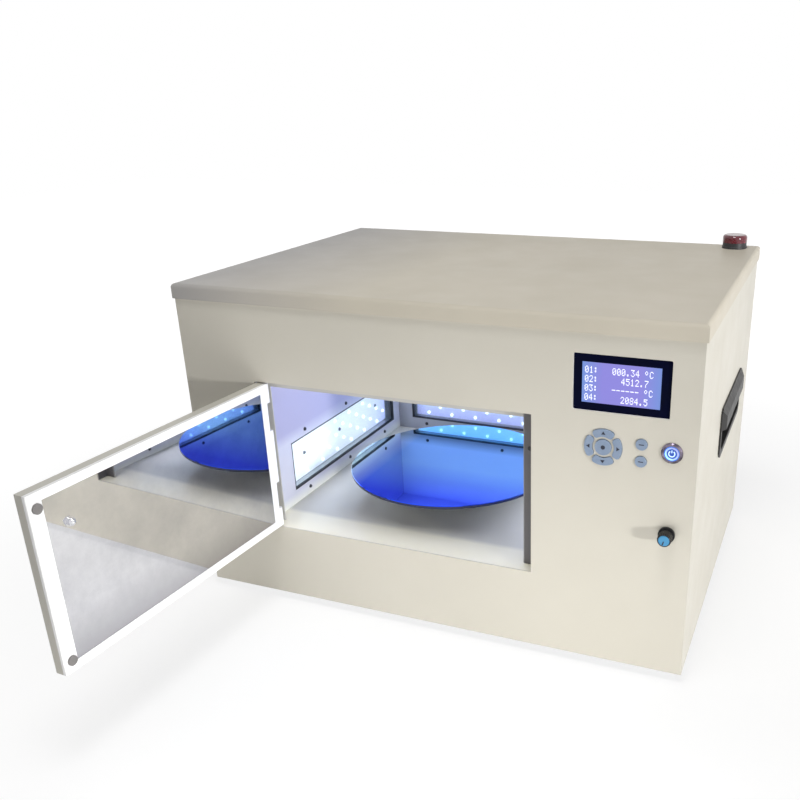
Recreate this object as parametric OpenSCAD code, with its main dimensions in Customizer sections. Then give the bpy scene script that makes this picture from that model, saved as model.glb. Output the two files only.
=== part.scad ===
// Bench-top light curing oven with a turntable, a mirrored door and a control panel.
// Millimetres, +Z up, -Y is the front. The origin is the centre of the base pan's underside.

/* [Body] */
// Width of the cabinet, left to right
body_w = 560; // [545:1:680]
// Depth of the cabinet, front to rear
body_d = 405; // [385:1:500]
// Height of the cabinet from the base pan's underside to the lid's top
body_h = 358; // [345:1:440]
// Thickness of the cabinet's sheet steel
sheet = 1.5; // [1.2:0.1:2]
// Outside radius of the bend along the top of each panel
bend_r = 2.5; // [2:0.1:4]
// Width of the return flanges inside the cabinet
flange = 12; // [8:1:20]
// Height of the base pan's upturned edge
base_lip = 20; // [12:1:30]
// Height of the lid's downturned edge
lid_lip = 16; // [10:1:30]
// Gap between the lid's edge and the panels
lid_gap = 0.3; // [0.2:0.1:1]
// Diameter of a foot
foot_d = 22; // [16:1:30]
// Height of a foot
foot_h = 10; // [6:1:20]
// Distance of a foot's axis from the sides of the cabinet
foot_inset = 45; // [35:1:70]

/* [Door opening] */
// Distance from the cabinet's left side to the opening
opening_left = 88.3; // [86:0.1:110]
// Width of the opening
opening_w = 313.5; // [280:0.1:316]
// Height of the opening's lower edge, which is the chamber floor
opening_bottom = 86.5; // [84:0.1:100]
// Height of the opening
opening_h = 171.6; // [150:0.1:185]
// Width of the door stop at the hinge side and along the top
stop_w = 9.5; // [5:0.5:10]
// Width of the door stop at the closing side, where the magnets land
stop_catch_w = 13; // [11:0.5:16]

/* [Door] */
// Angle at which the door stands open
door_open = 92.8; // [70:0.1:110]
// Thickness of the door
door_t = 13; // [11:0.5:18]
// Gap between the door and the opening at each side
door_side_gap = 4.45; // [3.5:0.05:6]
// Gap between the door and the opening above and below
door_rail_gap = 1.7; // [1:0.1:3]
// Radius of the door's upright edges
door_edge_r = 1.4; // [0.5:0.1:3]
// Width of the white border beside the mirror, hinge side
border_hinge = 14.8; // [12:0.1:25]
// Width of the white border beside the mirror, closing side
border_free = 13.7; // [13:0.1:25]
// Width of the white border above and below the mirror
border_rail = 8.4; // [5:0.1:20]
// Thickness of the door mirror
mirror_t = 3; // [2:0.5:5]
// Diameter of a door magnet
magnet_d = 9; // [7:0.5:12]
// Height of a magnet above the door's inner face
magnet_proud = 1.8; // [1:0.1:3]
// Distance from the door's closing edge to the magnets' axes
magnet_inset = 8; // [7:0.5:12]
// Height of the lower magnet's axis above the door's lower edge
magnet_up = 11; // [9:0.5:30]
// Distance from the door's upper edge to the upper magnet's axis
magnet_down = 13.5; // [9:0.5:30]
// Distance from the door's hinge edge to the knob
knob_along = 270; // [180:1:280]
// Height of the knob above the door's lower edge
knob_up = 131; // [40:1:140]
// Length of a hinge
hinge_h = 30; // [24:1:40]
// Distance from a hinge's end to the door's nearer edge
hinge_inset = 22.4; // [15:0.1:30]
// Diameter of a hinge pin
hinge_pin_d = 2; // [1.6:0.1:2.4]

/* [Chamber] */
// How far the chamber walls stand outside the opening
chamber_step = 2.9; // [2:0.1:8]
// Headroom of the chamber above the opening
chamber_rise = 4; // [2:0.5:20]
// Space behind the chamber for the rear lamp and its fan
rear_bay = 74; // [72:0.5:90]
// Thickness of the chamber's sheet
liner_t = 1.2; // [1:0.1:1.5]

/* [Lamps] */
// Length of the side windows
side_window_l = 254.5; // [230:0.5:258]
// Length of the rear window
rear_window_l = 277; // [240:0.5:290]
// Height of the windows
window_h = 60; // [50:0.5:64]
// Height of the windows' lower edge above the chamber floor
window_up = 16.5; // [14:0.5:30]
// Distance from a side window's rear end to the rear wall
window_back = 17.5; // [15:0.5:30]
// Pitch of the emitters along a row
emitter_pitch = 36.2; // [30:0.1:38]
// Emitters in a row
emitters_in_row = 7; // [4:1:7]
// Rows of emitters
emitter_rows = 6; // [3:1:6]
// Height of the fins on a heat sink
fin_h = 20; // [12:1:22]
// Side of a fan
fan_w = 80; // [76:1:80]
// Depth of a fan
fan_t = 25; // [20:1:26]
// Blades on a fan
fan_blades = 7; // [5:1:9]

/* [Turntable] */
// Diameter of the turntable mirror
disc_d = 250; // [200:1:280]
// Thickness of the turntable mirror
disc_t = 4; // [3:0.5:6]
// Height of the mirror's face above the chamber floor
disc_up = 33.5; // [28:0.5:45]
// Diameter of the turntable shaft
shaft_d = 8; // [6:0.5:10]
// Diameter of the gear motor's output shaft
motor_shaft_d = 6; // [4:0.5:6]
// Diameter of the gearbox
gearbox_d = 37; // [32:1:44]

/* [Controls] */
// Width of the display's cut-out
lcd_w = 90.1; // [80:0.1:100]
// Height of the display's cut-out
lcd_h = 54.2; // [45:0.1:60]
// Distance from the cabinet's right side to the display
lcd_right = 27.5; // [15:0.1:30]
// Distance from the lid's top to the display
lcd_drop = 35.2; // [25:0.1:45]
// Width of the display's visible area
view_w = 72.8; // [60:0.1:76]
// Height of the display's visible area
view_h = 38.9; // [30:0.1:42]
// Distance from the cabinet's right side to the middle of the key ring
ring_right = 87.3; // [70:0.1:90]
// Distance from the lid's top to the middle of the key ring
ring_drop = 123.8; // [115:0.1:140]
// Diameter of the key ring
ring_d = 36.2; // [34:0.1:40]
// Diameter of the middle key
middle_key_d = 15.8; // [12:0.1:16]
// Diameter of the two small keys
small_key_d = 10.9; // [9:0.1:13]
// Distance from the key ring's middle to the small keys
small_key_along = 35.9; // [30:0.1:38]
// Height of the upper small key above the ring's middle
small_key_up = 7.3; // [6:0.1:10]
// Pitch of the two small keys
small_key_pitch = 16.9; // [14:0.1:20]
// Distance from the cabinet's right side to the power button and the speed knob
button_right = 23.3; // [18:0.1:24]
// Height of the power button above the ring's middle
button_up = 2.6; // [-5:0.1:10]
// Diameter of the power button's rim
button_d = 20; // [18:0.5:22]
// Distance from the power button down to the speed knob
knob_drop = 82.5; // [60:0.5:100]
// Diameter of the speed knob's skirt
knob_d = 16; // [14:0.5:20]
// Height of the speed knob
knob_h = 14.5; // [12:0.5:18]

/* [Beacon and handles] */
// Diameter of the beacon
beacon_d = 30; // [28:1:34]
// Height of the beacon's base
beacon_base_h = 7; // [6:0.5:12]
// Height of the beacon's lens
beacon_lens_h = 9; // [8:0.5:20]
// Distance from the cabinet's right side to the beacon's axis
beacon_right = 27; // [20:1:60]
// Distance from the cabinet's rear to the beacon's axis
beacon_back = 21; // [20:1:60]
// Length of a side handle
handle_l = 165; // [120:1:180]
// Height of a side handle
handle_h = 56; // [50:1:70]
// Distance from the front to a side handle
handle_front = 153.5; // [100:0.5:180]
// Distance from the lid's top to a side handle
handle_drop = 130; // [110:1:150]
// Depth of a side handle's pocket
handle_depth = 20; // [15:1:21]
// How far a side handle's hood stands out of the panel
handle_hood = 6; // [4.5:0.5:9]
// Height of a side handle's hood
hood_h = 24; // [18:1:28]

/* [Hidden] */
$fn = 64;

// Colours
cream = "#d9d5c9";
white_paint = "#f0f0ec";
liner_white = "#dfe0e8";
floor_grey = "#b4b2ae";
black_plastic = "#1b1b1d";
steel = "#b9bcc0";
aluminium = "#c4c6c9";
key_grey = "#a9adbb";
board_green = "#1f5a35";
mirror_blue = "#3a4fd0";

// Cabinet
panel_top = body_h - sheet;
rear_in = body_d - sheet;
lid_over = lid_gap + sheet;
foot_screw_r = 2.2;

// Opening and chamber
opening_right = opening_left + opening_w;
opening_top = opening_bottom + opening_h;
magnet_air = 0.2;
stop_y = door_t + magnet_proud + magnet_air;
ch_x0 = opening_left - chamber_step;
ch_x1 = opening_right + chamber_step;
ch_xc = (ch_x0 + ch_x1) / 2;
ch_y0 = stop_y + liner_t;
ch_y1 = body_d - rear_bay;
ceiling_z = opening_top + chamber_rise;
floor_z = opening_bottom;
floor_hem = 15;
stop_flange = 9;
disc_x = ch_xc;
disc_y = ch_y1 / 2;

// Door, drawn closed and turned about the hinge axis
door_x0 = opening_left + door_side_gap;
door_x1 = opening_right - door_side_gap;
door_z0 = opening_bottom + door_rail_gap;
door_z1 = opening_top - door_rail_gap;
pivot_in = 1.32;
pivot_back = 3.13;
pivot = [door_x0 + pivot_in, pivot_back, 0];
knuckle_r = hinge_pin_d / 2 + 1;
leaf_t = 1.2;
door_skin = 0.8;
notch_w = 5.6;
notch_air = 1;
hinge_low_z = door_z0 + hinge_inset;
hinge_high_z = door_z1 - hinge_inset - hinge_h;
mirror_air = 0.3;
mirror_sink = 0.3;
mirror_ledge = 6;
knob_stud_r = 2;
knob_x = door_x0 + knob_along;
knob_z = door_z0 + knob_up;
sensor_r = 2.4;
sensor_x = opening_right - 6;
sensor_z = opening_bottom + 130;

// Lamp, in its own frame: X along the wall, +Y away from the chamber, Z up, origin at the window's middle
window_zc = floor_z + window_up + window_h / 2;
side_window_yc = ch_y1 - window_back - side_window_l / 2;
gasket_w = 1.5;
gasket_d = 4;
gasket_flange = 6;
glass_t = 3;
glass_hold = 4;
glass_back = gasket_d + glass_t;
board_gap = 6;
board_t = 1.6;
sink_front = glass_back + board_gap + board_t;
sink_base_t = 4;
sink_rim = 10;
sink_end = 8;
fin_t = 1.5;
fin_pitch = 7;
fin_back = sink_front + sink_base_t + fin_h;
emitter_r = 2;
emitter_h = 2.4;
emitter_margin = 5.8;
fan_back = fin_back + fan_t;
fan_duct_r = fan_w / 2 - 3;
fan_hub_r = 15;
fan_tip_air = 1;
fan_post_r = 2.5;
running = 0.05;

// Turntable
disc_z1 = floor_z + disc_up;
disc_z0 = disc_z1 - disc_t;
disc_edge = 0.6;
carrier_t = 3;
carrier_z0 = disc_z0 - carrier_t;
carrier_r = disc_d * 0.4;
hub_r = 20;
boss_top = floor_z + 11.5;
hub_z0 = boss_top + 0.3;
shaft_top = carrier_z0;
housing_r = 24;
spigot_r = 11;
spigot_air = 0.1;
spigot_z0 = floor_z - liner_t - 7;
coupling_r = 10;
coupling_z0 = spigot_z0 - 22;
coupling_z1 = spigot_z0 - 1;
coupling_mid = (coupling_z0 + coupling_z1) / 2;
seat_air = 0.02;
bracket_t = 2;
bracket_z0 = coupling_z0 - 4 - bracket_t;
bracket_half = 30;
bracket_foot = 12;
gearbox_h = 22;
gearbox_offset = 7;
can_h = 20;

// Controls, measured from the cabinet's front left lower corner
lcd_x1 = body_w - lcd_right;
lcd_x0 = lcd_x1 - lcd_w;
lcd_z1 = body_h - lcd_drop;
lcd_z0 = lcd_z1 - lcd_h;
view_x0 = lcd_x0 + 7.8;
view_z0 = lcd_z0 + 7.3;
ring_x = body_w - ring_right;
ring_z = body_h - ring_drop;
ring_key_w = 7.6;
ring_key_half = 29;
ring_key_corner = 2.8;
small_x = ring_x + small_key_along;
small_z_high = ring_z + small_key_up;
small_z_low = small_z_high - small_key_pitch;
button_x = body_w - button_right;
button_z = ring_z + button_up;
knob_axis_z = button_z - knob_drop;
key_proud = 1.2;
key_air = 0.25;
key_lip = 0.45;
key_lip_t = 1.2;
key_back = sheet + 0.3 + key_lip_t;
board_y = 8;
switch_top = board_y - key_back - 1;
button_bore_r = 6.4;
button_cap_r = 6.3;
button_barrel_r = 7.9;
pot_r = 12;
pot_shaft_r = 3;
pot_bush_r = 4.4;

// Beacon
beacon_x = body_w - beacon_right;
beacon_y = body_d - beacon_back;
beacon_stem_r = 10.8;
beacon_nut_r = 13.3;

// Rear
inlet_x = body_w - 75;
inlet_z = 42;

module corner() translate([-body_w / 2, -body_d / 2, 0]) children();

module block(low, high) translate(low) cube(high - low);

// Extrudes a drawing whose axes are X and Z
module along_y(y0, y1) translate([0, y1, 0]) rotate([90, 0, 0]) linear_extrude(y1 - y0) children();

// Extrudes a drawing whose axes are Y and Z
module along_x(x0, x1) translate([x0, 0, 0]) rotate([90, 0, 90]) linear_extrude(x1 - x0) children();

module along_z(z0, z1) translate([0, 0, z0]) linear_extrude(z1 - z0) children();

module rod_y(x, z, r, y0, y1) translate([x, y0, z]) rotate([-90, 0, 0]) cylinder(r = r, h = y1 - y0);

module rod_z(x, y, r, z0, z1) translate([x, y, z0]) cylinder(r = r, h = z1 - z0);

module area(low, high) translate(low) square(high - low);

module middle_area(w, h) square([w, h], center = true);

module round_area(low, high, r) {
    area(low + [r, 0], high - [r, 0]);
    area(low + [0, r], high - [0, r]);
    for (x = [low.x + r, high.x - r], y = [low.y + r, high.y - r]) translate([x, y]) circle(r);
}

// Outline of the cabinet under the lid, with its two upper corners bent round
module bent_top(low, high, top, r) {
    area([low, 0], [high, top - r]);
    area([low + r, 0], [high - r, top]);
    for (x = [low + r, high - r]) translate([x, top - r]) circle(r);
}

module bent_box(over, top, r) intersection() {
    along_y(-over, body_d + over) bent_top(-over, body_w + over, top, r);
    along_x(-over, body_w + over) bent_top(-over, body_d + over, top, r);
}

// Cabinet

module base_pan() color(steel) corner() difference() {
    union() {
        block([sheet, sheet, 0], [body_w - sheet, rear_in, sheet]);
        for (x = [sheet, body_w - 2 * sheet]) block([x, sheet, 0], [x + sheet, rear_in, base_lip]);
        for (y = [sheet, rear_in - sheet]) block([sheet, y, 0], [body_w - sheet, y + sheet, base_lip]);
    }
    foot_places() rod_z(0, 0, foot_screw_r, -1, sheet + 1);
    intake_slots();
}

module foot_places()
    for (x = [foot_inset, body_w - foot_inset], y = [foot_inset, body_d - foot_inset])
        translate([x, y, 0]) children();

slot_w = 4;
slot_l = 44;
slot_pitch = 10;

module intake_slots()
    for (x = [ch_x0 / 2, (ch_x1 + body_w) / 2], i = [-4:4])
        translate([x, side_window_yc + i * slot_pitch, 0])
            along_z(-1, sheet + 1)
                round_area([-slot_l / 2, -slot_w / 2], [slot_l / 2, slot_w / 2], slot_w / 2 - 0.01);

module feet() color(black_plastic) corner() foot_places() rotate_extrude()
    polygon([
        [foot_screw_r, 0], [foot_d / 2, 0], [foot_d / 2 - 1.5, -foot_h], [5, -foot_h], [5, -foot_h + 4],
        [foot_screw_r, -foot_h + 4]
    ]);

module bent_panel() intersection() {
    children();
    bent_box(0, panel_top, bend_r);
}

// Plate with inward flanges down both sides and along the top, for the front and the rear
module end_panel(y_plate, y_flange) bent_panel() {
    block([0, y_plate, 0], [body_w, y_plate + sheet, panel_top]);
    for (x = [sheet, body_w - 2 * sheet])
        block([x, min(y_plate, y_flange), base_lip + 2], [x + sheet, max(y_plate, y_flange), panel_top - 4]);
    block(
        [2 * sheet + 1, min(y_plate, y_flange), panel_top - sheet],
        [body_w - 2 * sheet - 1, max(y_plate, y_flange), panel_top]
    );
}

module front_panel() color(cream) corner() difference() {
    end_panel(0, sheet + flange);
    along_y(-1, sheet + 1) {
        area([opening_left, opening_bottom], [opening_right, opening_top]);
        round_area([lcd_x0, lcd_z0], [lcd_x1, lcd_z1], 1.5);
        for (turn = [0:90:270]) ring_place(turn) ring_key_shape(key_air);
        translate([ring_x, ring_z]) circle(middle_key_d / 2 + key_air);
        for (z = [small_z_high, small_z_low]) translate([small_x, z]) circle(small_key_d / 2 + key_air);
        translate([button_x, button_z]) circle(button_barrel_r + 0.1);
        translate([button_x, knob_axis_z]) circle(pot_bush_r + 0.1);
    }
}

module rear_panel() color(cream) corner() difference() {
    end_panel(rear_in, rear_in - flange);
    along_y(rear_in - 1, body_d + 1) {
        translate([ch_xc, window_zc]) circle(guard_r);
        for (x = [-1, 1], z = [-1, 1])
            translate([ch_xc + x * fan_hole, window_zc + z * fan_hole]) circle(2.2);
        area([inlet_x - inlet_w / 2, inlet_z - inlet_h / 2], [inlet_x + inlet_w / 2, inlet_z + inlet_h / 2]);
        for (x = [ch_x0 / 2, (ch_x1 + body_w) / 2], i = [-4:4])
            translate([x + i * louvre_pitch, ceiling_z + 35])
                round_area([-louvre_w / 2, -louvre_l / 2], [louvre_w / 2, louvre_l / 2], louvre_w / 2 - 0.01);
    }
    // Room for the beacon's nut in the flange
    rod_z(beacon_x, beacon_y, beacon_nut_r + 1, panel_top - 2 * sheet, panel_top + 1);
}

louvre_w = 3.5;
louvre_l = 55;
louvre_pitch = 7;

module side_panel() difference() {
    bent_panel() {
        block([0, sheet, 0], [sheet, rear_in, panel_top]);
        block([0, sheet + flange + 1, panel_top - sheet], [flange, rear_in - flange - 1, panel_top]);
    }
    along_x(-1, sheet + 1) handle_outline(handle_seat);
}

module left_side_panel() color(cream) corner() side_panel();

module right_side_panel() color(cream) corner() other_side() side_panel();

module other_side() translate([body_w, 0, 0]) mirror([1, 0, 0]) children();

module top_lid() color(cream) corner() difference() {
    intersection() {
        bent_box(lid_over, body_h, bend_r + sheet);
        block([-body_w, -body_d, body_h - lid_lip], [2 * body_w, 2 * body_d, body_h]);
    }
    bent_box(lid_gap, panel_top, bend_r);
    rod_z(beacon_x, beacon_y, beacon_stem_r + 0.2, panel_top - 1, body_h + 1);
}

// Chamber

module door_stop_frame() color(white_paint) corner() {
    // Jamb round the opening
    along_y(sheet, stop_y + liner_t) difference() {
        area([opening_left - liner_t, floor_z], [opening_right + liner_t, opening_top + liner_t]);
        area([opening_left, floor_z - 1], [opening_right, opening_top]);
    }
    // Stop behind the door
    difference() {
        along_y(stop_y, stop_y + liner_t) difference() {
            area([ch_x0 - liner_t, floor_z], [ch_x1 + liner_t, ceiling_z + liner_t]);
            area([opening_left + stop_w, floor_z - 1], [opening_right - stop_catch_w, opening_top - stop_w]);
        }
        rod_y(sensor_x, sensor_z, sensor_r + 0.1, stop_y - 1, stop_y + liner_t + 1);
    }
    // Flange on the back of the front panel
    along_y(sheet, sheet + liner_t) difference() {
        area([ch_x0, floor_z], [ch_x1, opening_top + stop_flange]);
        area([opening_left, floor_z - 1], [opening_right, opening_top]);
    }
}

module chamber_floor() color(floor_grey) corner() difference() {
    union() {
        block([ch_x0, sheet, floor_z - liner_t], [ch_x1, ch_y1 + liner_t, floor_z]);
        for (x = [ch_x0, ch_x1 - liner_t])
            block([x, ch_y0, floor_z - floor_hem], [x + liner_t, ch_y1, floor_z - liner_t]);
        block([ch_x0, sheet, floor_z - floor_hem], [ch_x1, sheet + liner_t, floor_z - liner_t]);
    }
    rod_z(disc_x, disc_y, spigot_r + spigot_air, floor_z - liner_t - 1, floor_z + 1);
}

module chamber_ceiling() color(liner_white) corner() {
    block([ch_x0 - liner_t, ch_y0, ceiling_z], [ch_x1 + liner_t, ch_y1 + liner_t, ceiling_z + liner_t]);
    for (x = [ch_x0 - liner_t, ch_x1])
        block([x, ch_y0, ceiling_z + liner_t], [x + liner_t, ch_y1 + liner_t, ceiling_z + liner_t + flange]);
}

module window_cut(l, h) along_y(-liner_t, 2 * liner_t) middle_area(l, h);

module side_wall() {
    difference() {
        block([ch_x0 - liner_t, ch_y0, sheet], [ch_x0, ch_y1, ceiling_z]);
        at_left() window_cut(side_window_l, window_h);
    }
    block([ch_x0 - liner_t - flange, ch_y0, sheet], [ch_x0 - liner_t, ch_y1, sheet + liner_t]);
}

module chamber_left_wall() color(liner_white) corner() side_wall();

module chamber_right_wall() color(liner_white) corner() mirrored_in_chamber() side_wall();

module mirrored_in_chamber() translate([2 * ch_xc, 0, 0]) mirror([1, 0, 0]) children();

module chamber_rear_wall() color(liner_white) corner() difference() {
    block([ch_x0 - liner_t, ch_y1, floor_z], [ch_x1 + liner_t, ch_y1 + liner_t, ceiling_z]);
    at_rear() window_cut(rear_window_l, window_h);
}

// Lamps

module at_left() translate([ch_x0, side_window_yc, window_zc]) rotate([0, 0, 90]) children();

module at_right() translate([ch_x1, side_window_yc, window_zc]) rotate([0, 0, -90]) children();

module at_rear() translate([ch_xc, ch_y1, window_zc]) children();

module window_gasket(l) difference() {
    union() {
        along_y(0, gasket_d) middle_area(l, window_h);
        along_y(liner_t, gasket_d) middle_area(l + 2 * gasket_flange, window_h + 2 * gasket_flange);
    }
    along_y(-1, gasket_d + 1) middle_area(l - 2 * gasket_w, window_h - 2 * gasket_w);
}

module window_gaskets() color(black_plastic) corner() {
    at_left() window_gasket(side_window_l);
    at_right() window_gasket(side_window_l);
    at_rear() window_gasket(rear_window_l);
}

module window_glass(l)
    along_y(gasket_d, glass_back) middle_area(l + 2 * glass_hold, window_h + 2 * glass_hold);

module window_glasses() color("#bfe3ff", 0.5) corner() {
    at_left() window_glass(side_window_l);
    at_right() window_glass(side_window_l);
    at_rear() window_glass(rear_window_l);
}

module led_board(l) along_y(sink_front - board_t, sink_front) middle_area(l - 4, window_h - 2);

module led_boards() color(white_paint) corner() {
    at_left() led_board(side_window_l);
    at_right() led_board(side_window_l);
    at_rear() led_board(rear_window_l);
}

// Emitter that stands on the board, with a lens that tapers toward the chamber
module emitter() rotate([90, 0, 0]) {
    cylinder(r = emitter_r, h = emitter_h / 2);
    cylinder(r1 = emitter_r * 0.85, r2 = emitter_r * 0.4, h = emitter_h);
}

// Rows are staggered by half a pitch
module emitter_field() {
    row_pitch = (window_h - 2 * emitter_margin) / (emitter_rows - 1);
    for (row = [0:emitter_rows - 1], i = [0:emitters_in_row - 1]) {
        shift = (row % 2 == 0 ? -1 : 1) * emitter_pitch / 4;
        x = (i - (emitters_in_row - 1) / 2) * emitter_pitch + shift;
        z = (row - (emitter_rows - 1) / 2) * row_pitch;
        translate([x, sink_front - board_t, z]) emitter();
    }
}

module led_emitters() color("#a8e8ff") corner() {
    at_left() emitter_field();
    at_right() emitter_field();
    at_rear() emitter_field();
}

sink_half = window_h / 2 + gasket_flange + 4.5;
sink_channel = window_h / 2 + gasket_flange + 0.3;
sink_throat = window_h / 2 + 1;
fin_count = 11;

// Finned extrusion with a stepped channel that holds the glass and the gasket against the wall
module heat_sink(l) along_x(-l / 2 - sink_end, l / 2 + sink_end) {
    area([sink_front, -sink_half], [sink_front + sink_base_t, sink_half]);
    for (side = [0, 1]) mirror([0, side]) {
        area([liner_t, sink_channel], [sink_front, sink_half]);
        area([glass_back, sink_throat], [sink_front, sink_half]);
    }
    for (i = [0:fin_count - 1])
        translate([0, (i - (fin_count - 1) / 2) * fin_pitch])
            area([sink_front, -fin_t / 2], [fin_back, fin_t / 2]);
}

module heat_sinks() color(aluminium) corner() {
    at_left() heat_sink(side_window_l);
    at_right() heat_sink(side_window_l);
    at_rear() heat_sink(rear_window_l);
}

fan_hole = 0.89 * fan_w / 2;
fan_spider_y = fan_back - 4;

module fan_frame() {
    difference() {
        along_y(fin_back, fan_back) round_area([-fan_w / 2, -fan_w / 2], [fan_w / 2, fan_w / 2], 4);
        rod_y(0, 0, fan_duct_r, fin_back - 1, fan_back + 1);
        for (x = [-1, 1], z = [-1, 1]) rod_y(x * fan_hole, z * fan_hole, 2.2, fin_back - 1, fan_back + 1);
    }
    rod_y(0, 0, fan_hub_r + 1, fan_spider_y, fan_back);
    rod_y(0, 0, fan_post_r, fan_spider_y - 12, fan_spider_y);
    for (turn = [45:90:315]) rotate([0, turn, 0])
        block([fan_hub_r, fan_spider_y + 1, -2], [fan_duct_r + 1, fan_back, 2]);
}

module fan_frames() color(black_plastic) corner() {
    at_left() fan_frame();
    at_right() fan_frame();
    at_rear() fan_frame();
}

rotor_y0 = fin_back + 2;
rotor_y1 = fan_spider_y - 0.8;

module fan_rotor() {
    difference() {
        rod_y(0, 0, fan_hub_r, rotor_y0, rotor_y1);
        rod_y(0, 0, fan_post_r + running, fan_spider_y - 13, rotor_y1 + 1);
    }
    intersection() {
        difference() {
            rod_y(0, 0, fan_duct_r - fan_tip_air, rotor_y0, rotor_y1);
            rod_y(0, 0, fan_hub_r - 0.5, rotor_y0 - 1, rotor_y1 + 1);
        }
        for (i = [0:fan_blades - 1]) rotate([0, i * 360 / fan_blades, 0]) fan_blade();
    }
}

blade_pitch = 38;
blade_t = 1.6;

module fan_blade() translate([fan_duct_r / 2, (rotor_y0 + rotor_y1) / 2, 0]) rotate([blade_pitch, 0, 0])
    cube([fan_duct_r, 22, blade_t], center = true);

module left_fan_rotor() color(black_plastic) corner() at_left() fan_rotor();

module right_fan_rotor() color(black_plastic) corner() at_right() fan_rotor();

module rear_fan_rotor() color(black_plastic) corner() at_rear() fan_rotor();

guard_r = 34.5;
guard_t = 2;
guard_wire = 1.8;
guard_rings = 5;

module rear_fan_guard() color(steel) corner() translate([ch_xc, 0, window_zc])
    along_y(body_d, body_d + guard_t) {
        circle(6);
        for (i = [1:guard_rings]) difference() {
            circle(guard_r * i / guard_rings + guard_wire);
            circle(guard_r * i / guard_rings);
        }
        difference() {
            for (turn = [45, 135]) rotate(turn) middle_area(2 * fan_hole * sqrt(2), 3);
            for (x = [-1, 1], z = [-1, 1]) translate([x * fan_hole, z * fan_hole]) circle(2);
        }
        for (x = [-1, 1], z = [-1, 1]) translate([x * fan_hole, z * fan_hole]) difference() {
            circle(4);
            circle(2.2);
        }
    }

// Turntable

module at_disc() translate([disc_x, disc_y, 0]) children();

module turntable_mirror() color(mirror_blue) corner() at_disc() rotate_extrude() polygon([
    [0, disc_z0], [disc_d / 2 - disc_edge, disc_z0], [disc_d / 2, disc_z0 + disc_edge],
    [disc_d / 2, disc_z1 - disc_edge], [disc_d / 2 - disc_edge, disc_z1], [0, disc_z1]
]);

module turntable_carrier() color(aluminium) corner() at_disc() difference() {
    union() {
        cylinder_between(carrier_r, carrier_z0, disc_z0);
        cylinder_between(hub_r, hub_z0, carrier_z0);
    }
    cylinder_between(shaft_d / 2 + seat_air, hub_z0 - 1, shaft_top);
    for (turn = [0:60:300]) rotate(turn)
        translate([carrier_r * 0.62, 0, 0]) cylinder_between(carrier_r * 0.2, carrier_z0 - 1, disc_z0 + 1);
}

module cylinder_between(r, z0, z1) translate([0, 0, z0]) cylinder(r = r, h = z1 - z0);

module turntable_shaft() color(steel) corner() at_disc()
    cylinder_between(shaft_d / 2, coupling_mid + 0.5, shaft_top);

module bearing_housing() color(aluminium) corner() at_disc() difference() {
    union() {
        cylinder_between(housing_r, floor_z, floor_z + 4);
        cylinder_between(13, floor_z, boss_top);
        cylinder_between(spigot_r, spigot_z0, floor_z);
    }
    cylinder_between(shaft_d / 2 + running, spigot_z0 - 1, boss_top + 1);
}

module shaft_coupling() color(steel) corner() at_disc() difference() {
    cylinder_between(coupling_r, coupling_z0, coupling_z1);
    cylinder_between(shaft_d / 2 + seat_air, coupling_mid, coupling_z1 + 1);
    cylinder_between(motor_shaft_d / 2 + seat_air, coupling_z0 - 1, coupling_mid);
    for (z = [(coupling_z0 + coupling_mid) / 2, (coupling_mid + coupling_z1) / 2])
        rod_y(0, z, 1.6, -coupling_r - 1, -motor_shaft_d / 2);
}

motor_bore_depth = 10;

module motor_output_shaft() color(steel) corner() at_disc()
    cylinder_between(motor_shaft_d / 2, bracket_z0 - motor_bore_depth + 0.5, coupling_mid - 0.5);

module gear_motor() color(steel) corner() at_disc() difference() {
    union() {
        translate([-gearbox_offset, 0, 0]) {
            cylinder_between(gearbox_d / 2, bracket_z0 - gearbox_h, bracket_z0);
            cylinder_between(gearbox_d / 2 - 1.5, bracket_z0 - gearbox_h - can_h, bracket_z0 - gearbox_h);
            cylinder_between(5, bracket_z0 - gearbox_h - can_h - 2, bracket_z0 - gearbox_h - can_h);
        }
        cylinder_between(6, bracket_z0, bracket_z0 + bracket_t);
    }
    cylinder_between(motor_shaft_d / 2 + running, bracket_z0 - motor_bore_depth, bracket_z0 + bracket_t + 1);
}

module motor_bracket() color(steel) corner() at_disc() {
    under = floor_z - liner_t;
    difference() {
        block([-bracket_half, -26, bracket_z0], [bracket_half, 26, bracket_z0 + bracket_t]);
        cylinder_between(6.1, bracket_z0 - 1, bracket_z0 + bracket_t + 1);
    }
    for (side = [0, 1]) mirror([side, 0, 0]) {
        block([bracket_half, -26, bracket_z0], [bracket_half + bracket_t, 26, under]);
        block([bracket_half, -26, under - bracket_t], [bracket_half + bracket_foot, 26, under]);
    }
}

// Door

module open_door() translate(pivot) rotate([0, 0, -door_open]) translate(-pivot) children();

module hinge_places() for (z = [hinge_low_z, hinge_high_z]) translate([0, 0, z]) children();

module magnet_places()
    for (z = [door_z0 + magnet_up, door_z1 - magnet_down])
        translate([door_x1 - magnet_inset, 0, z]) children();

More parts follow.
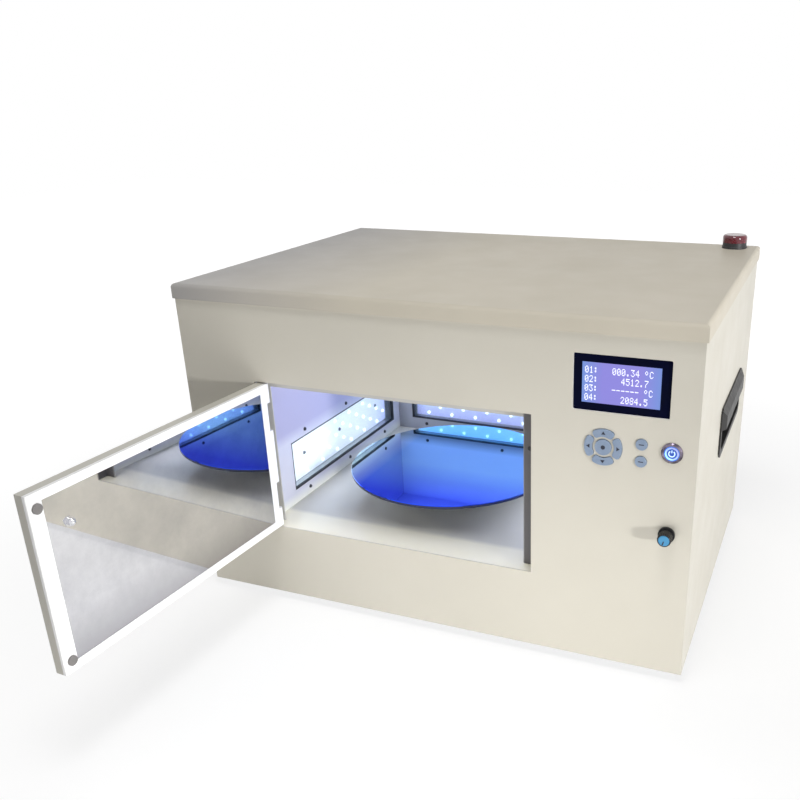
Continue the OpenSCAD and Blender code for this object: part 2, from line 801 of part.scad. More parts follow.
module door_panel() color(white_paint) corner() open_door() difference() {
    along_z(door_z0, door_z1) round_area([door_x0, 0], [door_x1, door_t], door_edge_r);
    // Pocket for the mirror
    block(
        [door_x0 + border_hinge, door_t - mirror_t - mirror_sink, door_z0 + border_rail],
        [door_x1 - border_free, door_t + 1, door_z1 - border_rail]
    );
    // Hollow behind the mirror
    block(
        [door_x0 + border_hinge + mirror_ledge, door_skin, door_z0 + border_rail + mirror_ledge],
        [door_x1 - border_free - mirror_ledge, door_t - mirror_t, door_z1 - border_rail - mirror_ledge]
    );
    // Notches for the hinges
    hinge_places() block(
        [door_x0 - 1, door_skin, -notch_air],
        [door_x0 + notch_w, door_t + 1, hinge_h + notch_air]
    );
    rod_y(knob_x, knob_z, knob_stud_r + 0.1, -1, door_t);
    magnet_places() rod_y(0, 0, magnet_d / 2 + 0.05, door_t - 3, door_t + 1);
}

module door_mirror() color("#dfe6f2") corner() open_door() difference() {
    rail = border_rail + mirror_air;
    block(
        [door_x0 + border_hinge + mirror_air, door_t - mirror_t - mirror_sink, door_z0 + rail],
        [door_x1 - border_free - mirror_air, door_t - mirror_sink, door_z1 - rail]
    );
    rod_y(knob_x, knob_z, knob_stud_r + 0.1, 0, door_t + 1);
}

module door_magnets() color("#9a9a98") corner() open_door() magnet_places()
    rod_y(0, 0, magnet_d / 2, door_t - 3, door_t + magnet_proud);

module door_knob() color(steel) corner() open_door() translate([knob_x, 0, knob_z]) rotate([90, 0, 0]) {
    rotate_extrude() polygon([
        [0, 0], [7, 0], [7, 2], [5, 4], [5, 9], [10, 13], [10, 20], [8.5, 22], [0, 22]
    ]);
    cylinder_between(knob_stud_r, -door_t - 3, 0);
}

// Leaf fixed to the jamb, with an arm that passes round the door's corner
module hinge_frame_leaf() {
    barrel_z0 = hinge_h / 2 + 0.2;
    jamb = opening_left - pivot.x;
    difference() {
        union() {
            along_z(barrel_z0, hinge_h) {
                circle(knuckle_r);
                area([-1, 0], [0.2, 5.2]);
                area([jamb, 4], [0.2, 5.2]);
            }
            along_z(0, hinge_h) area([jamb, 4], [jamb + leaf_t, stop_y - pivot.y - 0.4]);
        }
        along_z(-1, hinge_h + 1) circle(hinge_pin_d / 2 + seat_air);
    }
}

// Leaf fixed to the side of the door's notch
module hinge_door_leaf() {
    wall = notch_w - pivot_in;
    difference() {
        union() {
            along_z(0, hinge_h / 2 - 0.2) {
                circle(knuckle_r);
                area([0, 0.8], [wall, 2]);
            }
            along_z(0, hinge_h) area([wall - 1, 0.8], [wall, 9]);
        }
        along_z(-1, hinge_h + 1) circle(hinge_pin_d / 2 + running);
    }
}

module hinge_frame_leaves() color(steel) corner() hinge_places() translate(pivot) hinge_frame_leaf();

module hinge_door_leaves() color(steel) corner() open_door() hinge_places()
    translate(pivot) hinge_door_leaf();

module hinge_pins() color(steel) corner() hinge_places() translate(pivot)
    cylinder_between(hinge_pin_d / 2, -0.5, hinge_h);

module interlock_sensor() color(black_plastic) corner() {
    rod_y(sensor_x, sensor_z, sensor_r, stop_y - 0.5, ch_y0 + 9);
    rod_y(sensor_x, sensor_z, sensor_r + 1.6, ch_y0, ch_y0 + 2.5);
}

// Controls

module lcd_bezel() color(black_plastic) corner() along_y(sheet, sheet + 0.8) difference() {
    round_area([lcd_x0 - 3, lcd_z0 - 3], [lcd_x1 + 3, lcd_z1 + 3], 2);
    area([view_x0, view_z0], [view_x0 + view_w, view_z0 + view_h]);
}

module lcd_module() color("#3b52c8") corner() {
    glass_y = sheet + 0.8;
    block([view_x0 - 3, glass_y, view_z0 - 3], [view_x0 + view_w + 3, glass_y + 3, view_z0 + view_h + 3]);
    difference() {
        block([lcd_x0 - 2, glass_y + 3, lcd_z0 - 6], [lcd_x1 + 2, glass_y + 4.6, lcd_z1 + 6]);
        for (x = [lcd_x0 + 1, lcd_x1 - 1], z = [lcd_z0 - 3, lcd_z1 + 3])
            rod_y(x, z, 1.5, glass_y + 2, glass_y + 6);
    }
}

module ring_place(turn) translate([ring_x, ring_z]) rotate(turn) children();

// Points on an arc about the point that lies at radius r and angle a
function arc(r, a, radius, from, to, steps) = [
    for (i = [0:steps]) let (turn = from + (to - from) * i / steps)
        [r * cos(a) + radius * cos(turn), r * sin(a) + radius * sin(turn)]
];

// Arched key with rounded corners, grown outward by grow
module ring_key_shape(grow) {
    outer = ring_d / 2 + grow;
    inner = ring_d / 2 - ring_key_w - grow;
    c = ring_key_corner + grow;
    half = ring_key_half;
    polygon(concat(
        arc(0, 0, outer, -half, half, 12),
        arc(outer - c, half, c, half + 15, half + 90, 5),
        arc(inner + c, half, c, half + 90, half + 165, 5),
        arc(0, 0, inner, half, -half, 8),
        arc(inner + c, -half, c, -half + 195, -half + 270, 5),
        arc(outer - c, -half, c, -half + 270, -half + 345, 5)
    ));
}

module key_body() {
    along_y(-key_proud, key_back) children(0);
    along_y(sheet + 0.3, key_back) children(1);
}

module ring_key(turn) color(key_grey) corner() key_body() {
    ring_place(turn) ring_key_shape(0);
    ring_place(turn) ring_key_shape(key_lip);
}

module round_key(x, z, d) color(key_grey) corner() key_body() {
    translate([x, z]) circle(d / 2);
    translate([x, z]) circle(d / 2 + key_lip);
}

module right_key() ring_key(0);

module up_key() ring_key(90);

module left_key() ring_key(180);

module down_key() ring_key(270);

module middle_key() round_key(ring_x, ring_z, middle_key_d);

module upper_small_key() round_key(small_x, small_z_high, small_key_d);

module lower_small_key() round_key(small_x, small_z_low, small_key_d);

switch_places = concat(
    [for (turn = [0:90:270]) [
        ring_x + (ring_d - ring_key_w) / 2 * cos(turn), ring_z + (ring_d - ring_key_w) / 2 * sin(turn)
    ]],
    [[ring_x, ring_z], [small_x, small_z_high], [small_x, small_z_low]]
);

module keypad_board() color(board_green) corner() {
    x0 = ring_x - ring_d / 2 - 5;
    x1 = small_x + small_key_d / 2 + 1.2;
    z0 = ring_z - ring_d / 2 - 5;
    z1 = ring_z + ring_d / 2 + 5;
    block([x0, board_y, z0], [x1, board_y + 1.6, z1]);
    for (x = [x0 + 2.5, x1 - 2.5], z = [z0 + 2.5, z1 - 2.5]) rod_y(x, z, 2, sheet, board_y);
    for (p = switch_places) {
        block([p.x - 3, board_y - 3, p.y - 3], [p.x + 3, board_y, p.y + 3]);
        rod_y(p.x, p.y, 1.5, board_y - switch_top, board_y);
    }
}

module power_button_body() color(steel) corner() difference() {
    union() {
        translate([button_x, 0, button_z]) rotate([90, 0, 0]) rotate_extrude()
            polygon([[0, 0], [button_d / 2, 0], [button_d / 2, 0.8], [button_d / 2 - 1.2, 2], [0, 2]]);
        rod_y(button_x, button_z, button_barrel_r, 0, 26);
        rod_y(button_x, button_z, button_barrel_r + 2.2, sheet, sheet + 4);
    }
    rod_y(button_x, button_z, button_bore_r, -3, 10);
}

module power_button_cap() color("#4aa3ff") corner() rod_y(button_x, button_z, button_cap_r, -1.8, 7);

module speed_potentiometer() color(steel) corner() difference() {
    union() {
        rod_y(button_x, knob_axis_z, pot_r, sheet + 0.5, 12);
        rod_y(button_x, knob_axis_z, pot_bush_r, -4, 12);
        rod_y(button_x, knob_axis_z, 6, -2, 0);
        rod_y(button_x, knob_axis_z, 7, sheet, sheet + 0.5);
        block([button_x - 8, 5, knob_axis_z - pot_r - 6], [button_x + 8, 7, knob_axis_z]);
    }
    rod_y(button_x, knob_axis_z, pot_shaft_r + running, -5, 8);
}

knob_grip_r = knob_d / 2 - 1.7;
knob_cap_r = knob_grip_r - 0.9;

// Skirted knob with finger ribs, with the spindle that it turns
module speed_knob() color(black_plastic) corner() translate([button_x, 0, knob_axis_z]) rotate([90, 0, 0]) {
    rotate_extrude() polygon([
        [0, -7.5], [pot_shaft_r, -7.5], [pot_shaft_r, 5], [pot_bush_r + 0.5, 5], [pot_bush_r + 0.5, 2.4],
        [knob_d / 2 - 1.4, 2.4], [knob_d / 2 - 1.4, 0.4], [knob_d / 2, 0.4], [knob_d / 2, 3],
        [knob_grip_r + 0.4, 3], [knob_grip_r, knob_h - 0.4], [knob_grip_r - 0.4, knob_h],
        [knob_cap_r, knob_h], [knob_cap_r, knob_h - 1], [0, knob_h - 1]
    ]);
    for (i = [0:17]) rotate(i * 20)
        block([knob_grip_r - 0.6, -0.4, 2.8], [knob_grip_r + 0.5, 0.4, knob_h - 2]);
}

// Coloured cap sunk in the end of the knob
module speed_knob_cap() color("#2f86c8") corner() translate([button_x, 0, knob_axis_z]) rotate([90, 0, 0]) {
    cylinder_between(knob_cap_r, knob_h - 1, knob_h - 0.3);
    translate([0, 0, knob_h - 0.3]) cylinder(r1 = knob_cap_r - 0.1, r2 = knob_cap_r - 0.7, h = 0.4);
}

// Beacon

module beacon_base() color(black_plastic) corner() {
    rod_z(beacon_x, beacon_y, beacon_d / 2, body_h, body_h + 2.5);
    rod_z(beacon_x, beacon_y, beacon_d / 2 - 0.8, body_h + 2.5, body_h + beacon_base_h);
    rod_z(beacon_x, beacon_y, beacon_stem_r, panel_top - 14, body_h);
    rod_z(beacon_x, beacon_y, beacon_nut_r, panel_top - 5, panel_top);
    lens_z = body_h + beacon_base_h;
    rod_z(beacon_x, beacon_y, beacon_post_r, lens_z, lens_z + beacon_lens_h - 3.5);
}

beacon_post_r = 4.5;
beacon_top_r = 3.5;
beacon_wall = 1.6;

// Hollow cap with a rounded upper edge
module beacon_lens() color("#c81e22") corner() translate([beacon_x, beacon_y, body_h + beacon_base_h])
    difference() {
        r = beacon_d / 2 - 0.5;
        rotate_extrude() {
            area([0, 0], [r, beacon_lens_h - beacon_top_r]);
            area([0, 0], [r - beacon_top_r, beacon_lens_h]);
            translate([r - beacon_top_r, beacon_lens_h - beacon_top_r]) intersection() {
                circle(beacon_top_r);
                area([0, 0], [beacon_top_r, beacon_top_r]);
            }
        }
        cylinder_between(r - beacon_wall, -1, beacon_lens_h - beacon_wall - 2);
        cylinder_between(r - beacon_top_r, -1, beacon_lens_h - beacon_wall);
    }

// Handles

handle_seat = 4;
handle_proud = 2;
handle_wall = 2;
handle_corner = 6;
hood_slope = 7;
hood_wall = 1.8;

// Outline with cut corners, drawn smaller by inset
module handle_outline(inset) {
    y0 = handle_front + inset;
    y1 = handle_front + handle_l - inset;
    z1 = body_h - handle_drop - inset;
    z0 = body_h - handle_drop - handle_h + inset;
    c = handle_corner;
    polygon([
        [y0 + c, z0], [y1 - c, z0], [y1, z0 + c], [y1, z1 - c],
        [y1 - c, z1], [y0 + c, z1], [y0, z1 - c], [y0, z0 + c]
    ]);
}

// Hood drawn solid, with sloping upper and end faces, and drawn smaller by inset
module hood(inset) {
    y0 = handle_front + 2 + inset;
    y1 = handle_front + handle_l - 2 - inset;
    top = body_h - handle_drop - 2 - inset;
    low = body_h - handle_drop - hood_h - inset;
    face = -handle_hood + inset;
    intersection() {
        along_y(y0, y1)
            polygon([[0, low], [face, low], [face, top - hood_slope], [-handle_proud, top], [0, top]]);
        along_z(low, top) polygon([
            [0, y0], [-handle_proud, y0], [face, y0 + hood_slope], [face, y1 - hood_slope],
            [-handle_proud, y1], [0, y1]
        ]);
    }
}

// Cup with a rim outside the panel and a hood over the upper part of its mouth, which the fingers pull on
module carry_handle() {
    difference() {
        union() {
            along_x(-handle_proud, 0) handle_outline(0);
            along_x(0, handle_depth) handle_outline(handle_seat + 0.3);
        }
        along_x(-handle_proud - 1, handle_depth - handle_wall)
            handle_outline(handle_seat + 0.3 + handle_wall);
    }
    difference() {
        hood(0);
        hood(hood_wall);
    }
}

module carry_handles() color(black_plastic) corner() {
    carry_handle();
    other_side() carry_handle();
}

// Mains and electronics

inlet_w = 28;
inlet_h = 20.5;
inlet_ear = 40;

module mains_inlet() color(black_plastic) corner() translate([inlet_x, 0, inlet_z]) {
    difference() {
        union() {
            along_y(body_d, body_d + 2.5) round_area([-inlet_ear / 2 - 5, -12], [inlet_ear / 2 + 5, 12], 3);
            along_y(rear_in - 16, body_d) middle_area(inlet_w - 0.6, inlet_h - 0.6);
        }
        along_y(body_d - 14, body_d + 3) middle_area(24, 16.5);
        for (x = [-inlet_ear / 2, inlet_ear / 2]) rod_y(x, 0, 1.8, body_d - 1, body_d + 3);
    }
    for (p = [[-7, -2], [0, 2], [7, -2]])
        block([p.x - 1, body_d - 14, p.y - 2], [p.x + 1, body_d - 4, p.y + 2]);
}

supply_w = 98;
supply_l = 199;
supply_h = 42;
supply_x = ch_x1 + liner_t + flange + 12;
supply_y = 90;

module power_supply() color(aluminium) corner() translate([supply_x, supply_y, sheet]) difference() {
    cube([supply_w, supply_l, supply_h]);
    // Terminal strip step at the rear end
    translate([4, supply_l - 16, 18]) cube([supply_w - 8, 17, supply_h]);
    // Vent slots in the cover
    for (i = [0:11]) translate([12, 14 + i * 13, supply_h - 2]) cube([supply_w - 24, 4, 3]);
}

control_x = ch_xc - 70;
control_y = 60;

module control_board() color(board_green) corner() translate([control_x, control_y, ceiling_z + liner_t]) {
    block([0, 0, 6], [140, 90, 7.6]);
    for (x = [5, 135], y = [5, 85]) rod_z(x, y, 3, 0, 6);
    for (i = [0:3]) block([12 + i * 22, 60, 7.6], [28 + i * 22, 80, 23]);
    for (i = [0:2]) rod_z(112, 20 + i * 20, 7, 7.6, 28);
    block([20, 12, 7.6], [60, 40, 12]);
}

base_pan();
feet();
front_panel();
left_side_panel();
right_side_panel();
rear_panel();
top_lid();
door_stop_frame();
chamber_floor();
chamber_ceiling();
chamber_left_wall();
chamber_right_wall();
chamber_rear_wall();
window_gaskets();
window_glasses();
led_boards();
led_emitters();
heat_sinks();
fan_frames();
left_fan_rotor();
right_fan_rotor();
rear_fan_rotor();
rear_fan_guard();
turntable_mirror();
turntable_carrier();
turntable_shaft();
bearing_housing();
shaft_coupling();
motor_output_shaft();
gear_motor();
motor_bracket();
door_panel();
door_mirror();
door_magnets();
door_knob();
hinge_frame_leaves();
hinge_door_leaves();
hinge_pins();
interlock_sensor();
lcd_bezel();
lcd_module();
up_key();
down_key();
left_key();
right_key();
middle_key();
upper_small_key();
lower_small_key();
keypad_board();
power_button_body();
power_button_cap();
speed_potentiometer();
speed_knob();
speed_knob_cap();
beacon_base();
beacon_lens();
carry_handles();
mains_inlet();
power_supply();
control_board();
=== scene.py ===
"""Light curing oven: finishes, printed marks, small fasteners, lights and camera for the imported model."""

import math

import bmesh
import bpy
from mathutils import Matrix, Vector


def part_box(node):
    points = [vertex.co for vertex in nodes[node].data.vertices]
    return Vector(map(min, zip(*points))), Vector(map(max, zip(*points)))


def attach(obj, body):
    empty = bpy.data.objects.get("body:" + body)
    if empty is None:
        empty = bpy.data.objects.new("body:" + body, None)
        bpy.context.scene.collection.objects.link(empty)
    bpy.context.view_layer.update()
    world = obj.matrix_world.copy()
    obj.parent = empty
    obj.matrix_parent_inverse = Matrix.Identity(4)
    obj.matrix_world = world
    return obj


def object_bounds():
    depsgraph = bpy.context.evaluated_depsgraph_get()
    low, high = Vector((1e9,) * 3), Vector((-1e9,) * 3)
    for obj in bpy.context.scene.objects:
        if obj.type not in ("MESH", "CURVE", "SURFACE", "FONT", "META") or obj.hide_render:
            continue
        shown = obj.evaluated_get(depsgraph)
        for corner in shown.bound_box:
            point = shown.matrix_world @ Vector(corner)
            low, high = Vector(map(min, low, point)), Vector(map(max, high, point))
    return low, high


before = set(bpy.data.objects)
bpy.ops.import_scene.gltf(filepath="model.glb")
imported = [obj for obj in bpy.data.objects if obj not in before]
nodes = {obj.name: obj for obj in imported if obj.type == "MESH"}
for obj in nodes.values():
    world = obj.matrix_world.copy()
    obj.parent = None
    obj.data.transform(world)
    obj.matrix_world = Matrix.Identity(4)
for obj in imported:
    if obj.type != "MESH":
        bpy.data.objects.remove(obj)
cad_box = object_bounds()

# Half the cabinet's width and depth: places below are millimetres from its front left lower corner
HALF_WIDTH = 280.0
HALF_DEPTH = 202.5

# Places that several pieces and finishes share, in the same millimetres
CHAMBER_X, CHAMBER_Y = 245.05, 186.25
WINDOW_Z = 133
BUTTON_X, BUTTON_Z = 536.7, 236.8
KNOB_X, KNOB_Z = 536.7, 154.3
RING_X, RING_Z = 472.7, 234.2
HINGE_X, HINGE_Y = 94.07, 3.13

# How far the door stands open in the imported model, in degrees
DOOR_OPEN = 92.8


def spot(x, y, z):
    """A place in metres from the middle of the floor sheet, from those millimetres."""
    return Vector(((x - HALF_WIDTH) / 1000, (y - HALF_DEPTH) / 1000, z / 1000))


# Camera


def photo_camera():
    data = bpy.data.cameras.new("photo_camera")
    data.sensor_width = 36
    data.lens = 39.7325
    data.shift_x = -0.11504
    data.shift_y = 0.05757
    data.clip_start = 0.05
    data.clip_end = 30
    camera = bpy.data.objects.new("photo_camera", data)
    camera.location = (0.377191, -0.946056, 0.548144)
    camera.rotation_euler = [math.radians(a) for a in (67.70989, 0.85300, 21.33833)]
    bpy.context.scene.collection.objects.link(camera)
    bpy.context.scene.camera = camera


photo_camera()

# Node helpers


def new_material(name):
    material = bpy.data.materials.new(name)
    material.use_nodes = True
    return material, material.node_tree, material.node_tree.nodes["Principled BSDF"]


def add(tree, kind, settings=None, **inputs):
    made = tree.nodes.new(kind)
    for key, value in (settings or {}).items():
        setattr(made, key, value)
    for key, value in inputs.items():
        feed(tree, made.inputs[key.replace("_", " ")], value)
    return made


def feed(tree, socket, value):
    if isinstance(value, bpy.types.NodeSocket):
        tree.links.new(value, socket)
    elif isinstance(value, tuple) and len(value) == 3 and socket.type == "RGBA":
        socket.default_value = (*value, 1)
    else:
        socket.default_value = value


def object_place(tree):
    return add(tree, "ShaderNodeTexCoord").outputs["Object"]


def noise(tree, place, scale, detail=4.0, rough=0.55):
    made = add(tree, "ShaderNodeTexNoise", Vector=place, Scale=scale, Detail=detail, Roughness=rough)
    return made.outputs["Fac"]


def remap(tree, value, low, high, to_low=0.0, to_high=1.0):
    made = add(tree, "ShaderNodeMapRange", Value=value)
    for name, number in (("From Min", low), ("From Max", high), ("To Min", to_low), ("To Max", to_high)):
        made.inputs[name].default_value = number
    return made.outputs["Result"]


def sum_of(tree, operation, first, second):
    made = tree.nodes.new("ShaderNodeMath")
    made.operation = operation
    feed(tree, made.inputs[0], first)
    feed(tree, made.inputs[1], second)
    return made.outputs[0]


def between(tree, value, low, high):
    """One where the value lies from low to high, and nought outside."""
    made = tree.nodes.new("ShaderNodeMath")
    made.operation = "COMPARE"
    feed(tree, made.inputs[0], value)
    made.inputs[1].default_value = (low + high) / 2
    made.inputs[2].default_value = (high - low) / 2
    return made.outputs[0]


def in_box(tree, place, low, high):
    """One inside a box, nought outside."""
    part = add(tree, "ShaderNodeSeparateXYZ", Vector=place)
    inside = [between(tree, part.outputs[i], low[i], high[i]) for i in range(3)]
    return sum_of(tree, "MULTIPLY", sum_of(tree, "MULTIPLY", inside[0], inside[1]), inside[2])


def mixed(tree, factor, first, second):
    made = tree.nodes.new("ShaderNodeMix")
    made.data_type = "RGBA"
    feed(tree, made.inputs[0], factor)
    feed(tree, made.inputs[6], first)
    feed(tree, made.inputs[7], second)
    return made.outputs[2]


def edge_wear_and_highlight(tree, radius, place, amount):
    """How strongly a place shows as an edge, and the normal with that edge softened. The edge colour stands
    for wear, and on some finishes for a painted highlight.
    """
    soft = tree.nodes.new("ShaderNodeBevel")
    soft.samples = 4
    soft.inputs["Radius"].default_value = radius
    facing = tree.nodes.new("ShaderNodeNewGeometry")
    turn = tree.nodes.new("ShaderNodeVectorMath")
    turn.operation = "DOT_PRODUCT"
    tree.links.new(soft.outputs["Normal"], turn.inputs[0])
    tree.links.new(facing.outputs["Normal"], turn.inputs[1])
    edge = remap(tree, turn.outputs["Value"], 0.995, 0.86)
    patchy = remap(tree, noise(tree, place, 130, 3), 0.42, 0.62)
    return sum_of(tree, "MULTIPLY", sum_of(tree, "MULTIPLY", edge, patchy), amount), soft.outputs["Normal"]


def coat(name, colour, deep, rough, grain, depth, metallic=0.0, spread=6.0, edge=None, edge_radius=0.0006,
         edge_amount=0.5, gloss=0.0, shine=0.5, over=None):
    """A finish with slow colour changes, uneven gloss, a fine grain and lighter or darker edges, which are
    wear and, on the keys and the button's rim, a painted highlight.

    over(tree, place, tint) can lay a second colour on some places.
    """
    material, tree, shader = new_material(name)
    place = object_place(tree)
    slow = remap(tree, noise(tree, place, spread, 3), 0.3, 0.7)
    tint = mixed(tree, slow, colour, deep)
    edge_share, normal = edge_wear_and_highlight(tree, edge_radius, place, edge_amount)
    # Edge colour: wear, and a painted highlight on the finishes that are given pale edges
    tint = mixed(tree, edge_share, tint, edge or deep)
    if over:
        tint = over(tree, place, tint)
    feed(tree, shader.inputs["Base Color"], tint)
    smear = remap(tree, noise(tree, place, spread * 4, 5, 0.65), 0.3, 0.7, rough * 0.82, rough * 1.18)
    feed(tree, shader.inputs["Roughness"], smear)
    bump = tree.nodes.new("ShaderNodeBump")
    bump.inputs["Strength"].default_value = 0.35
    bump.inputs["Distance"].default_value = depth
    feed(tree, bump.inputs["Height"], noise(tree, place, grain, 2))
    tree.links.new(normal, bump.inputs["Normal"])
    tree.links.new(bump.outputs["Normal"], shader.inputs["Normal"])
    shader.inputs["Metallic"].default_value = metallic
    shader.inputs["Specular IOR Level"].default_value = shine
    shader.inputs["Coat Weight"].default_value = gloss
    shader.inputs["Coat Roughness"].default_value = 0.12
    return material


# Finishes

CREAM = (0.66, 0.63, 0.55)
CREAM_DEEP = (0.63, 0.60, 0.52)
LID_CREAM = (0.66, 0.61, 0.51)
LID_DEEP = (0.61, 0.565, 0.47)


def cut_edge_highlights(tree, place, tint):
    """Painted highlight: paler colour on the cut edges of the display's and the keys' holes, where light
    catches them.
    """
    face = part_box("front_panel")[0].y
    front, back = face + 0.00012, face + 0.0016
    holes = ("lcd_bezel", 0.0026, (0.93, 0.92, 0.93)), ("keypad_board", 0.0, (0.80, 0.84, 0.90))
    for name, border, cut_highlight in holes:
        low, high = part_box(name)
        hole = in_box(tree, place, (low.x + border, front, low.z + border),
                      (high.x - border, back, high.z - border))
        tint = mixed(tree, hole, tint, cut_highlight)
    return tint


def door_skin(tree, place, tint):
    """Cream on the door's outer sheet, which is folded round its edges, and white on the inner frame. The
    cream is darker than the body's: painted shade on the door's free edge.
    """
    turned = math.radians(90 - DOOR_OPEN)
    across = Vector((math.cos(turned), math.sin(turned), 0))
    away = tree.nodes.new("ShaderNodeVectorMath")
    away.operation = "DOT_PRODUCT"
    tree.links.new(place, away.inputs[0])
    away.inputs[1].default_value = across
    fold = spot(HINGE_X, HINGE_Y, 0).dot(across) + 0.0060
    outer = remap(tree, away.outputs["Value"], fold, fold + 0.0004, 1, 0)
    return mixed(tree, outer, tint, (0.53, 0.51, 0.45))


def lid_left_shade(tree, place, tint):
    """Painted shade: greyer towards the lid's left end, which gets less light."""
    part = add(tree, "ShaderNodeSeparateXYZ", Vector=place)
    left_shade = remap(tree, part.outputs["X"], spot(220, 0, 0).x, spot(10, 0, 0).x)
    return mixed(tree, left_shade, tint, (0.45, 0.435, 0.42))


body_paint_and_highlights = coat("cream_powder_coat_and_highlights", CREAM, CREAM_DEEP, 0.42, 700, 0.00004, edge=(0.74, 0.72, 0.66),
                  edge_amount=0.3, shine=0.35, over=cut_edge_highlights)
lid_paint_and_shade = coat("lid_powder_coat_and_shade", LID_CREAM, LID_DEEP, 0.40, 500, 0.00002, edge=(0.72, 0.68, 0.60),
                 edge_amount=0.25, shine=0.05, over=lid_left_shade)
door_paint_and_edge_shade = coat("white_powder_coat_and_edge_shade", (0.93, 0.93, 0.925), (0.90, 0.90, 0.90), 0.36, 700, 0.00005,
                  edge=(0.93, 0.93, 0.93), edge_amount=0.3, over=door_skin)


def far_jamb_shade(tree, place, tint):
    """Painted shade: a dark strip on the free side of the door frame, whose jamb faces away from the light.
    """
    part = add(tree, "ShaderNodeSeparateXYZ", Vector=place)
    strip = spot(388, 0, 0).x
    return mixed(tree, remap(tree, part.outputs["X"], strip, strip + 0.002), tint, (0.125, 0.12, 0.125))


# The door stop is grey where its own paint is pale: painted shade in the recess behind the front panel.
stop_paint_and_shade = coat("stop_powder_coat_and_shade", (0.58, 0.57, 0.54), (0.53, 0.52, 0.49), 0.40, 700, 0.00005,
                  edge=(0.66, 0.65, 0.62), edge_amount=0.3, over=far_jamb_shade)


# Heights over which the walls' painted light changes, above and below the windows
ABOVE_WINDOW = (0.165, 0.178)
BELOW_WINDOW = (0.100, 0.088)


def lit_wall(tree, place, tint):
    """Painted light: lilac above the windows, for the lamps' lilac light, and paler below them, for light
    thrown up from the sill.
    """
    part = add(tree, "ShaderNodeSeparateXYZ", Vector=place)
    upper = mixed(tree, remap(tree, part.outputs["Z"], *ABOVE_WINDOW), tint, (0.49, 0.48, 0.66))
    return mixed(tree, remap(tree, part.outputs["Z"], *BELOW_WINDOW), upper, (0.97, 0.98, 0.90))


liner_paint = coat("white_liner_paint", (0.78, 0.78, 0.82), (0.74, 0.74, 0.79), 0.40, 600, 0.00005,
                   edge=(0.84, 0.84, 0.86), edge_amount=0.3)
side_liner_paint_and_light = coat("side_liner_paint_and_light", (0.70, 0.71, 0.80), (0.66, 0.67, 0.77), 0.40, 600, 0.00005,
                        edge=(0.84, 0.84, 0.88), edge_amount=0.3, over=lit_wall)


def upper_wall(tree, place, tint):
    """Lilac white above the rear window, over a dark grey that is painted shade lower down."""
    part = add(tree, "ShaderNodeSeparateXYZ", Vector=place)
    return mixed(tree, remap(tree, part.outputs["Z"], *ABOVE_WINDOW), tint, (0.82, 0.84, 0.95))


# The rear liner's dark grey base is painted shade on the wall's lower part.
rear_liner_paint_and_shade = coat("rear_liner_paint_and_shade", (0.37, 0.38, 0.41), (0.34, 0.35, 0.38), 0.40, 600, 0.00005,
                        edge=(0.6, 0.58, 0.55), edge_amount=0.3, over=upper_wall)


def sill_light(tree, place, tint):
    """Painted light: a paler strip of the floor behind the door, where light from above falls in through the
    opening, with a ragged edge.
    """
    part = add(tree, "ShaderNodeSeparateXYZ", Vector=place)
    front = spot(0, 40, 0).y
    ragged = sum_of(tree, "MULTIPLY", noise(tree, place, 12, 3), 0.006)
    depth = sum_of(tree, "ADD", part.outputs["Y"], ragged)
    return mixed(tree, remap(tree, depth, front + 0.008, front), tint, (0.93, 0.89, 0.72))


chamber_floor_paint_and_sill_light = coat("pale_floor_paint_and_sill_light", (0.74, 0.72, 0.62), (0.67, 0.65, 0.57), 0.17, 420, 0.00003,
                   spread=9, edge=(0.78, 0.77, 0.75), edge_amount=0.3, over=sill_light)
zinc = coat("zinc_plate", (0.60, 0.61, 0.63), (0.48, 0.49, 0.52), 0.34, 300, 0.00003, metallic=1.0,
            spread=40, edge=(0.75, 0.76, 0.78), edge_radius=0.0003)
dark_screw = coat("dark_screw_steel", (0.06, 0.06, 0.07), (0.10, 0.10, 0.11), 0.35, 900, 0.00002,
                  metallic=1.0, spread=90, edge=(0.3, 0.3, 0.32), edge_radius=0.0002)
alloy = coat("plain_alloy", (0.70, 0.71, 0.72), (0.62, 0.63, 0.65), 0.38, 500, 0.00003, metallic=1.0,
             spread=25, edge=(0.82, 0.83, 0.84), edge_radius=0.0003)
bright = coat("bright_plate", (0.78, 0.78, 0.80), (0.70, 0.70, 0.73), 0.12, 400, 0.00001, metallic=1.0,
              spread=60, edge=(0.9, 0.9, 0.9), edge_radius=0.0003)
black_moulding = coat("black_moulding", (0.022, 0.022, 0.025), (0.032, 0.032, 0.035), 0.42, 900, 0.00006,
                      spread=30, edge=(0.09, 0.09, 0.095), edge_radius=0.0005)
handle_moulding = coat("handle_moulding", (0.030, 0.029, 0.029), (0.040, 0.039, 0.038), 0.45, 900, 0.00008,
                       spread=30, edge=(0.09, 0.09, 0.09), edge_radius=0.0006, edge_amount=0.35, shine=0.25)
rubber = coat("black_rubber", (0.018, 0.018, 0.02), (0.03, 0.03, 0.032), 0.65, 700, 0.00008, spread=40,
              edge=(0.07, 0.07, 0.07), edge_radius=0.0004)
board_green = coat("green_mask", (0.02, 0.13, 0.05), (0.015, 0.10, 0.04), 0.30, 300, 0.00004, spread=60,
                   edge=(0.35, 0.32, 0.2), edge_radius=0.0003)
magnet_grey = coat("magnet_grey", (0.155, 0.148, 0.143), (0.20, 0.19, 0.185), 0.50, 500, 0.00004, spread=120,
                   edge=(0.5, 0.5, 0.5), edge_radius=0.0004)
